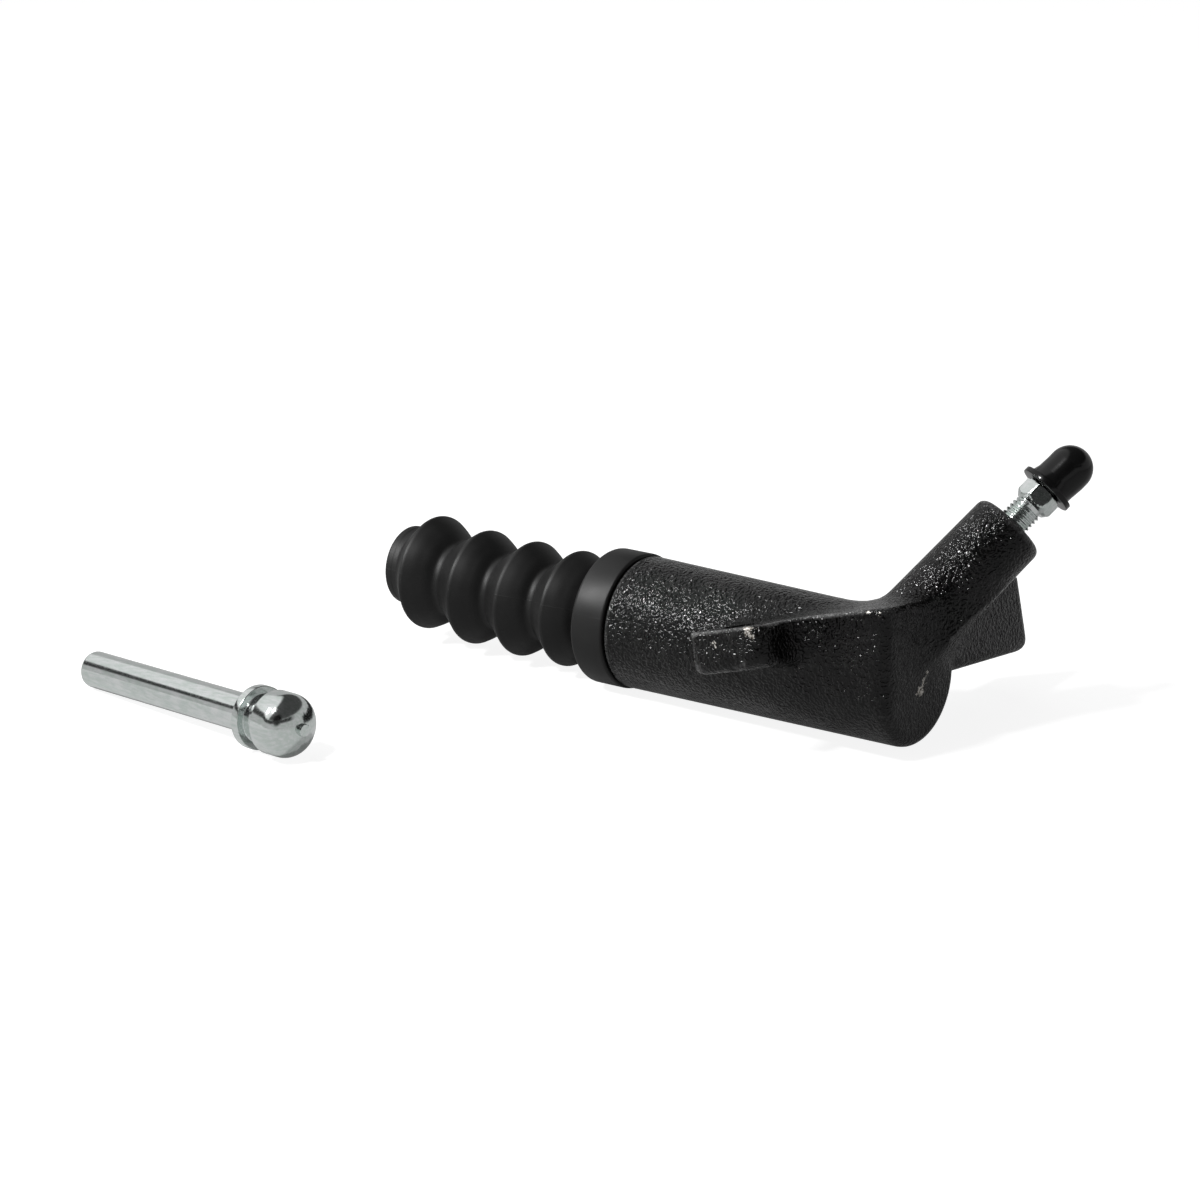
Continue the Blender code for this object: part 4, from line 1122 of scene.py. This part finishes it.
@dataclass
class Bleeder:
    """The bleeder screw with its thread and hexagon, and its rubber cap."""

    hex_start: float = 0.0501
    hex_end: float = 0.0546
    flats: float = 0.0080
    crest: float = 0.00345
    depth: float = 0.00055
    pitch: float = 0.0010
    thread_start: float = 0.0418
    turns: float = 8.0
    nipple_end: float = 0.0628
    cap_start: float = 0.0548
    cap_tip: float = 0.0670
    cap_radius: float = 0.0050
    ring_radius: float = 0.00625
    cap_foot: float = 0.00515
    cap_lean: float = 0.0005
    cap_bore: float = 0.0037
    core_radius: float = 0.0031
    drilling: float = 0.0010

    def hexagon(self, material: Material) -> Object:
        """Make the chamfered hexagon with its cone below.

        Args:
            material: The plating.

        Returns:
            The hexagon's object.
        """
        corner = self.flats / 2 / math.cos(math.pi / 6)
        steps = 144
        top = self.hex_end - self.hex_start
        heights = [0.0, 0.0002, 0.0004, 0.0006, 0.0008, 0.001, 0.0013, 0.0025]
        heights += [top - 0.0009, top - 0.0006, top - 0.0004, top - 0.0002, top]
        rows = []
        for height in heights:
            cone = self.crest + 0.0001 + height * 0.80
            upper = corner - 0.0008 + (top - height) * 1.6
            row = []
            for step in range(steps):
                angle = 2 * math.pi * step / steps
                lean = (angle + math.pi / 6) % (math.pi / 3) - math.pi / 6
                flat = self.flats / 2 / math.cos(lean)
                radius = min(flat, cone, upper, corner - 0.00013)
                row.append((radius * math.cos(angle), radius * math.sin(angle), self.hex_start + height))
            rows.append(row)
        mesh = walled("bleeder_hexagon", rows, BOSS_PLACE, sharp_deg=18, ends=True)
        return stand("bleeder_hexagon", mesh, material)

    def core(self, material: Material) -> Object:
        """Make the screw's cone, thread core and barbed nipple with its drilling.

        Args:
            material: The plating.

        Returns:
            The core's object.
        """
        root = self.crest - self.depth
        corners = [
            (0.0267, 0.0), (0.0267, 0.0009), (0.0286, 0.0028), (0.0290, self.core_radius),
            (self.thread_start - 0.0020, self.core_radius), (self.thread_start - 0.0015, root),
            (self.hex_start - 0.0002, root), (self.hex_start + 0.0006, self.crest),
            (self.hex_start + 0.0010, self.crest), (self.hex_end - 0.0006, self.crest),
            (self.hex_end - 0.0006, 0.0027), (self.nipple_end - 0.0032, 0.0027),
            (self.nipple_end - 0.0026, 0.0033), (self.nipple_end - 0.0004, 0.0025),
            (self.nipple_end, 0.0021), (self.nipple_end, self.drilling), (0.0311, self.drilling),
            (0.0303, 0.0),
        ]
        return stand("bleeder_core", turned("bleeder_core", corners, BOSS_PLACE, 96), material)

    def thread(self, tree: ThreadTree, material: Material) -> Object:
        """Wind the visible thread.

        Args:
            tree: The thread tree.
            material: The plating.

        Returns:
            The thread as plain mesh.
        """
        thread = stand("bleeder_thread", bpy.data.meshes.new("bleeder_thread"))
        sizes = {"Crest Radius": self.crest, "Depth": self.depth, "Pitch": self.pitch, "Turns": self.turns}
        tree.run(thread, {**sizes, "Finish": material})
        set_out(thread, BOSS_PLACE @ Matrix.Translation((0, 0, self.thread_start)), close=True)
        return thread

    def cap(self, material: Material) -> Object:
        """Make the cap: a ring at its foot, a side that leans over and a dome, hollow inside.

        Args:
            material: The rubber.

        Returns:
            The cap's object.
        """
        start = self.cap_start
        outside = rounded(
            [
                (start, self.cap_bore), (start, self.ring_radius), (start + 0.0012, self.ring_radius),
                (start + 0.0013, self.cap_foot), (start + 0.0031, self.cap_radius - 0.00005),
                (start + 0.0056, self.cap_radius),
            ],
            0.00016,
            3,
        )
        centre = self.cap_tip - self.cap_radius
        outside += list(reversed(arc(centre, 0.0, self.cap_radius, 0, 90, 24)))
        outside[-1] = (self.cap_tip, 0.0)
        inside = [
            (self.nipple_end + 0.0003, 0.0), (self.nipple_end + 0.0003, 0.0027),
            (self.nipple_end - 0.0007, self.cap_bore), (start, self.cap_bore),
        ]
        mesh = turned("bleeder_cap_skin", inside + outside, BOSS_PLACE, 128)
        back = BOSS_PLACE.inverted()
        aside = Vector((0.65, 0.10, -0.49)).normalized()
        for point in mesh.vertices:
            rise = (back @ point.co).z - start - 0.0013
            point.co += aside * (self.cap_lean * min(max(rise / 0.003, 0.0), 1.0))
        return stand("bleeder_cap_skin", mesh, material)


@dataclass
class PushRod:
    """The loose push rod: plain rod, step, disc, boot groove and domed head."""

    radius: float = 0.00415
    length: float = 0.0559
    step_radius: float = 0.0048
    step_length: float = 0.0018
    disc_radius: float = 0.0070
    disc_length: float = 0.0021
    groove_radius: float = 0.0053
    groove_length: float = 0.0041
    head_radius: float = 0.0070
    head_length: float = 0.0040
    dome: float = 0.0051
    pip_radius: float = 0.0014
    pip_height: float = 0.0012
    end: tuple[float, float] = (-0.1722, -0.0740)
    heading_deg: float = -8.6
    end_rounding: float = 0.0009
    pip_rounding: float = 0.00012

    def place(self) -> Matrix:
        """Lay the rod on the ground on its disc and its rounded end.

        Returns:
            The rod's placing.
        """
        reach = self.length + self.step_length - self.end_rounding
        tilt = math.asin((self.disc_radius - self.radius) / reach)
        heading = math.radians(self.heading_deg)
        level = math.cos(tilt)
        axis = Vector((level * math.cos(heading), level * math.sin(heading), math.sin(tilt)))
        start = Vector((*self.end, GROUND_Z + self.radius + 0.00002))
        return toward(start, axis, Vector((0, 0, 1)))

    def build(self, material: Material) -> Object:
        """Turn the rod.

        Args:
            material: The plating.

        Returns:
            The finished rod.
        """
        disc = self.length + self.step_length
        groove = disc + self.disc_length
        head = groove + self.groove_length
        crown = head + self.head_length
        edge = self.end_rounding
        points = [(0.0, 0.0), *arc(edge, self.radius - edge, edge, 180, 90, 8)]
        points += rounded(
            [
                (self.length - 0.001, self.radius), (self.length, self.radius),
                (self.length + 0.0002, self.step_radius), (disc, self.step_radius),
                (disc, self.disc_radius), (groove, self.disc_radius), (groove, self.groove_radius),
                (head, self.groove_radius), (head, self.head_radius), (crown, self.head_radius),
            ],
            0.00022,
            3,
        )
        turn = math.asin(self.pip_radius / self.head_radius)
        for step in range(1, 29):
            angle = math.pi / 2 + (turn - math.pi / 2) * step / 28
            points.append((crown + self.dome * math.cos(angle), self.head_radius * math.sin(angle)))
        tip = crown + self.dome * math.cos(turn) + self.pip_height
        edge = self.pip_rounding
        points += [(tip - edge, self.pip_radius), (tip, self.pip_radius - edge), (tip, 0.0)]
        return stand("loose_push_rod", turned("loose_push_rod", points, self.place(), 160), material)


@dataclass
class Studio:
    """Floor, world, lamps and the camera at the photograph's place."""

    distance: float = 0.8
    focal_pixels: float = 3544.0
    frame_pixels: float = 1200.0
    sensor: float = 36.0
    floor_side: float = 6.0
    target: Spot = (-0.0855, 0.0, 0.00284)
    azimuth_deg: float = 37.0
    elevation_deg: float = 17.15

    def camera(self) -> None:
        """Stand the camera where the photograph was taken from."""
        azimuth = math.radians(self.azimuth_deg)
        rise = math.radians(self.elevation_deg)
        level = math.cos(rise)
        back = Vector((math.sin(azimuth) * level, -math.cos(azimuth) * level, math.sin(rise)))
        right = Vector((math.cos(azimuth), math.sin(azimuth), 0.0))
        up = back.cross(right)
        data = bpy.data.cameras.new("camera")
        data.sensor_width = self.sensor
        data.lens = self.sensor * self.focal_pixels / self.frame_pixels
        data.clip_start = 0.01
        camera = stand("camera", data)
        eye = Vector(self.target) + SHIFT + back * self.distance
        camera.matrix_world = Matrix.Translation(eye) @ Matrix((right, up, back)).transposed().to_4x4()
        bpy.context.scene.camera = camera

    def floor(self) -> None:
        """Lay the pale floor that the shadow falls on."""
        level = GROUND_Z + SHIFT.z
        mesh = bpy.data.meshes.new("floor")
        side = self.floor_side
        corners = [(x * side, y * side, level) for x, y in ((-1, -1), (1, -1), (1, 1), (-1, 1))]
        mesh.from_pydata(corners, [], [(0, 1, 2, 3)])
        material = bpy.data.materials.new("pale_floor")
        kit = cleared(material)
        lit = kit.add("ShaderNodeBsdfDiffuse", {"Color": grey(0.30)})
        glow = kit.add("ShaderNodeEmission", {"Color": grey(1.0)})
        path = kit.add("ShaderNodeLightPath")
        glossy = kit.times(path.outputs["Is Glossy Ray"], 0.15)
        kit.feed(glow, {"Strength": kit.math("MULTIPLY_ADD", path.outputs["Is Camera Ray"], 0.88, glossy)})
        both = kit.add("ShaderNodeAddShader", {0: lit.outputs[0], 1: glow.outputs[0]})
        kit.add("ShaderNodeOutputMaterial", {0: both.outputs[0]})
        stand("floor", mesh, material)

    def world(self) -> None:
        """Light the room: grey walls, a dark ceiling with a window, and a dark belt on the camera's side."""
        world = bpy.data.worlds.new("room")
        bpy.context.scene.world = world
        kit = cleared(world)
        way = kit.add("ShaderNodeTexCoord").outputs["Generated"]
        parts = kit.add("ShaderNodeSeparateXYZ", {0: way})
        high = parts.outputs["Z"]

        def toward_way(x: float, y: float, z: float, low: float, full: float) -> NodeSocket:
            """Rise from 0 to 1 round one direction."""
            near = kit.vector("DOT_PRODUCT", way, tuple(Vector((x, y, z)).normalized()))
            return kit.ramp(near.outputs["Value"], low, full)

        ceiling = kit.ramp(high, 0.43, 0.48, 0.48, 0.06)
        window = kit.times(toward_way(-0.75, -0.30, 0.62, 0.62, 0.72), kit.ramp(high, 0.43, 0.46))
        bright = kit.math("MULTIPLY_ADD", window, 0.75, ceiling)
        belt = kit.times(kit.ramp(high, 0.25, 0.28), kit.ramp(high, 0.45, 0.42))
        belt = kit.times(belt, kit.ramp(parts.outputs["Y"], 0.25, -0.05))
        dark = kit.math("MAXIMUM", belt, toward_way(0.45, -0.62, 0.40, 0.93, 0.97))
        sky = kit.times(bright, kit.math("MULTIPLY_ADD", dark, -0.93, 1.0))
        path = kit.add("ShaderNodeLightPath")
        level = kit.math("MAXIMUM", sky, path.outputs["Is Camera Ray"])
        back = kit.add("ShaderNodeBackground", {"Color": grey(1.0), "Strength": level})
        kit.add("ShaderNodeOutputWorld", {0: back.outputs[0]})

    def lamp(self, name: str, spot: Spot, size: float, power: float) -> None:
        """Hang one soft square lamp that looks at the part.

        Args:
            name: The lamp's name.
            spot: Its place, from the camera's target.
            size: Its side.
            power: Its power in watts.
        """
        data = bpy.data.lights.new(name, "AREA")
        data.size = size
        data.energy = power
        lamp = stand(name, data)
        lamp.location = Vector(self.target) + SHIFT + Vector(spot)
        lamp.rotation_euler = (-Vector(spot)).to_track_quat("-Z", "Y").to_euler()

    def build(self) -> None:
        """Set up the whole studio."""
        bpy.context.scene.view_settings.view_transform = "Standard"
        self.floor()
        self.world()
        self.lamp("left_key", (-0.43, -0.41, 0.46), 0.08, 4.4)
        self.lamp("top_key", (-0.08, -0.46, 0.64), 0.08, 3.6)
        self.camera()


@dataclass
class Inside:
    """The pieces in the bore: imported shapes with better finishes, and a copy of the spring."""

    stroke: float = 0.016

    def spring(self, node: Object, material: Material) -> None:
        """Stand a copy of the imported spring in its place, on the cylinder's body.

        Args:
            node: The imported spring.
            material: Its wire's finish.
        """
        coil = stand("coil_spring", as_mesh(merged(node), "coil_spring"), material)
        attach(coil, "cylinder")
        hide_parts("return_spring")
        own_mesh(coil)

    def build(self, nodes: dict[str, Object]) -> None:
        """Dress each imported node.

        Args:
            nodes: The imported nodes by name.
        """
        rubber = MouldedRubber("seal_rubber_skin", level=0.02, rough=0.38).make()
        finishes = {"piston_seal": rubber, "piston_cup": rubber}
        for name, row in {
            "piston": ("piston_skin", (0.72, 0.72, 0.73), (0.66, 0.67, 0.69), 0.28, Grain.ROUND),
            "spring_seat": ("seat_skin", (0.70, 0.52, 0.24), (0.62, 0.44, 0.18), 0.30),
            "return_spring": ("spring_skin", (0.46, 0.46, 0.47), (0.36, 0.36, 0.37), 0.32),
            "snap_ring": ("ring_skin", (0.22, 0.22, 0.23), (0.16, 0.16, 0.17), 0.40),
        }.items():
            finishes[name] = WorkedMetal(*row).make()
        for name, material in finishes.items():
            node = nodes[name]
            for place in node.material_slots:
                place.material = material
            LOG.info("dressed %s", name)
        self.spring(nodes["return_spring"], finishes["return_spring"])


def main() -> None:
    """Build every piece in order and report it."""
    logging.basicConfig(level=logging.INFO, format="%(message)s")
    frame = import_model()
    nodes = frame["nodes"]
    chips = (
        (-0.0005, -0.0006, -0.0012, 0.0015),
        (-0.0003, 0.0004, 0.0006, 0.0009),
        (0.0, 0.0012, 0.0025, 0.0007),
        (-0.0256, -0.0284, 0.0143, 0.0011),
        (-0.0248, -0.0286, 0.0132, 0.0007),
        (-0.0333, -0.0290, 0.0100, 0.0003),
        (-0.0051, -0.0140, 0.0186, 0.0005),
        (-0.0026, -0.0139, 0.0190, 0.0003),
        (-0.0215, -0.0141, 0.0031, 0.0003),
    )
    paint = WrinklePaint("wrinkle_paint", bare_spots=chips).make()
    boot_skin = MouldedRubber("boot_skin", level=0.006, rough=0.50, seam=True).make()
    cap_skin = MouldedRubber("cap_skin", level=0.004, rough=0.15, grain=0.000006).make()
    plate = WorkedMetal("plated_screw", rough=0.13).make()
    rod_plate = WorkedMetal("plated_rod", rough=0.12).make()

    casting = Casting().build(nodes["cylinder_body"], paint)
    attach(casting, "cylinder")
    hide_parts("cylinder_body")
    LOG.info("casting has %d faces", len(casting.data.polygons))

    boot = DustBoot().build(TurnTree(), boot_skin)
    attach(boot, "cylinder")
    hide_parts("dust_boot")
    LOG.info("boot has %d faces", len(boot.data.polygons))

    bleeder = Bleeder()
    core = bleeder.core(plate)
    for piece in (core, bleeder.hexagon(plate), bleeder.thread(ThreadTree(), plate)):
        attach(piece, "bleeder")
        LOG.info("%s has %d faces", piece.name, len(piece.data.polygons))
    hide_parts("bleeder_screw")
    cap = bleeder.cap(cap_skin)
    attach(cap, "bleeder")
    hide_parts("bleeder_cap")

    rod = PushRod().build(rod_plate)
    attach(rod, "cylinder")
    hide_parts("push_rod")

    Inside().build(nodes)
    Studio().build()


if __name__ == "__main__":
    main()
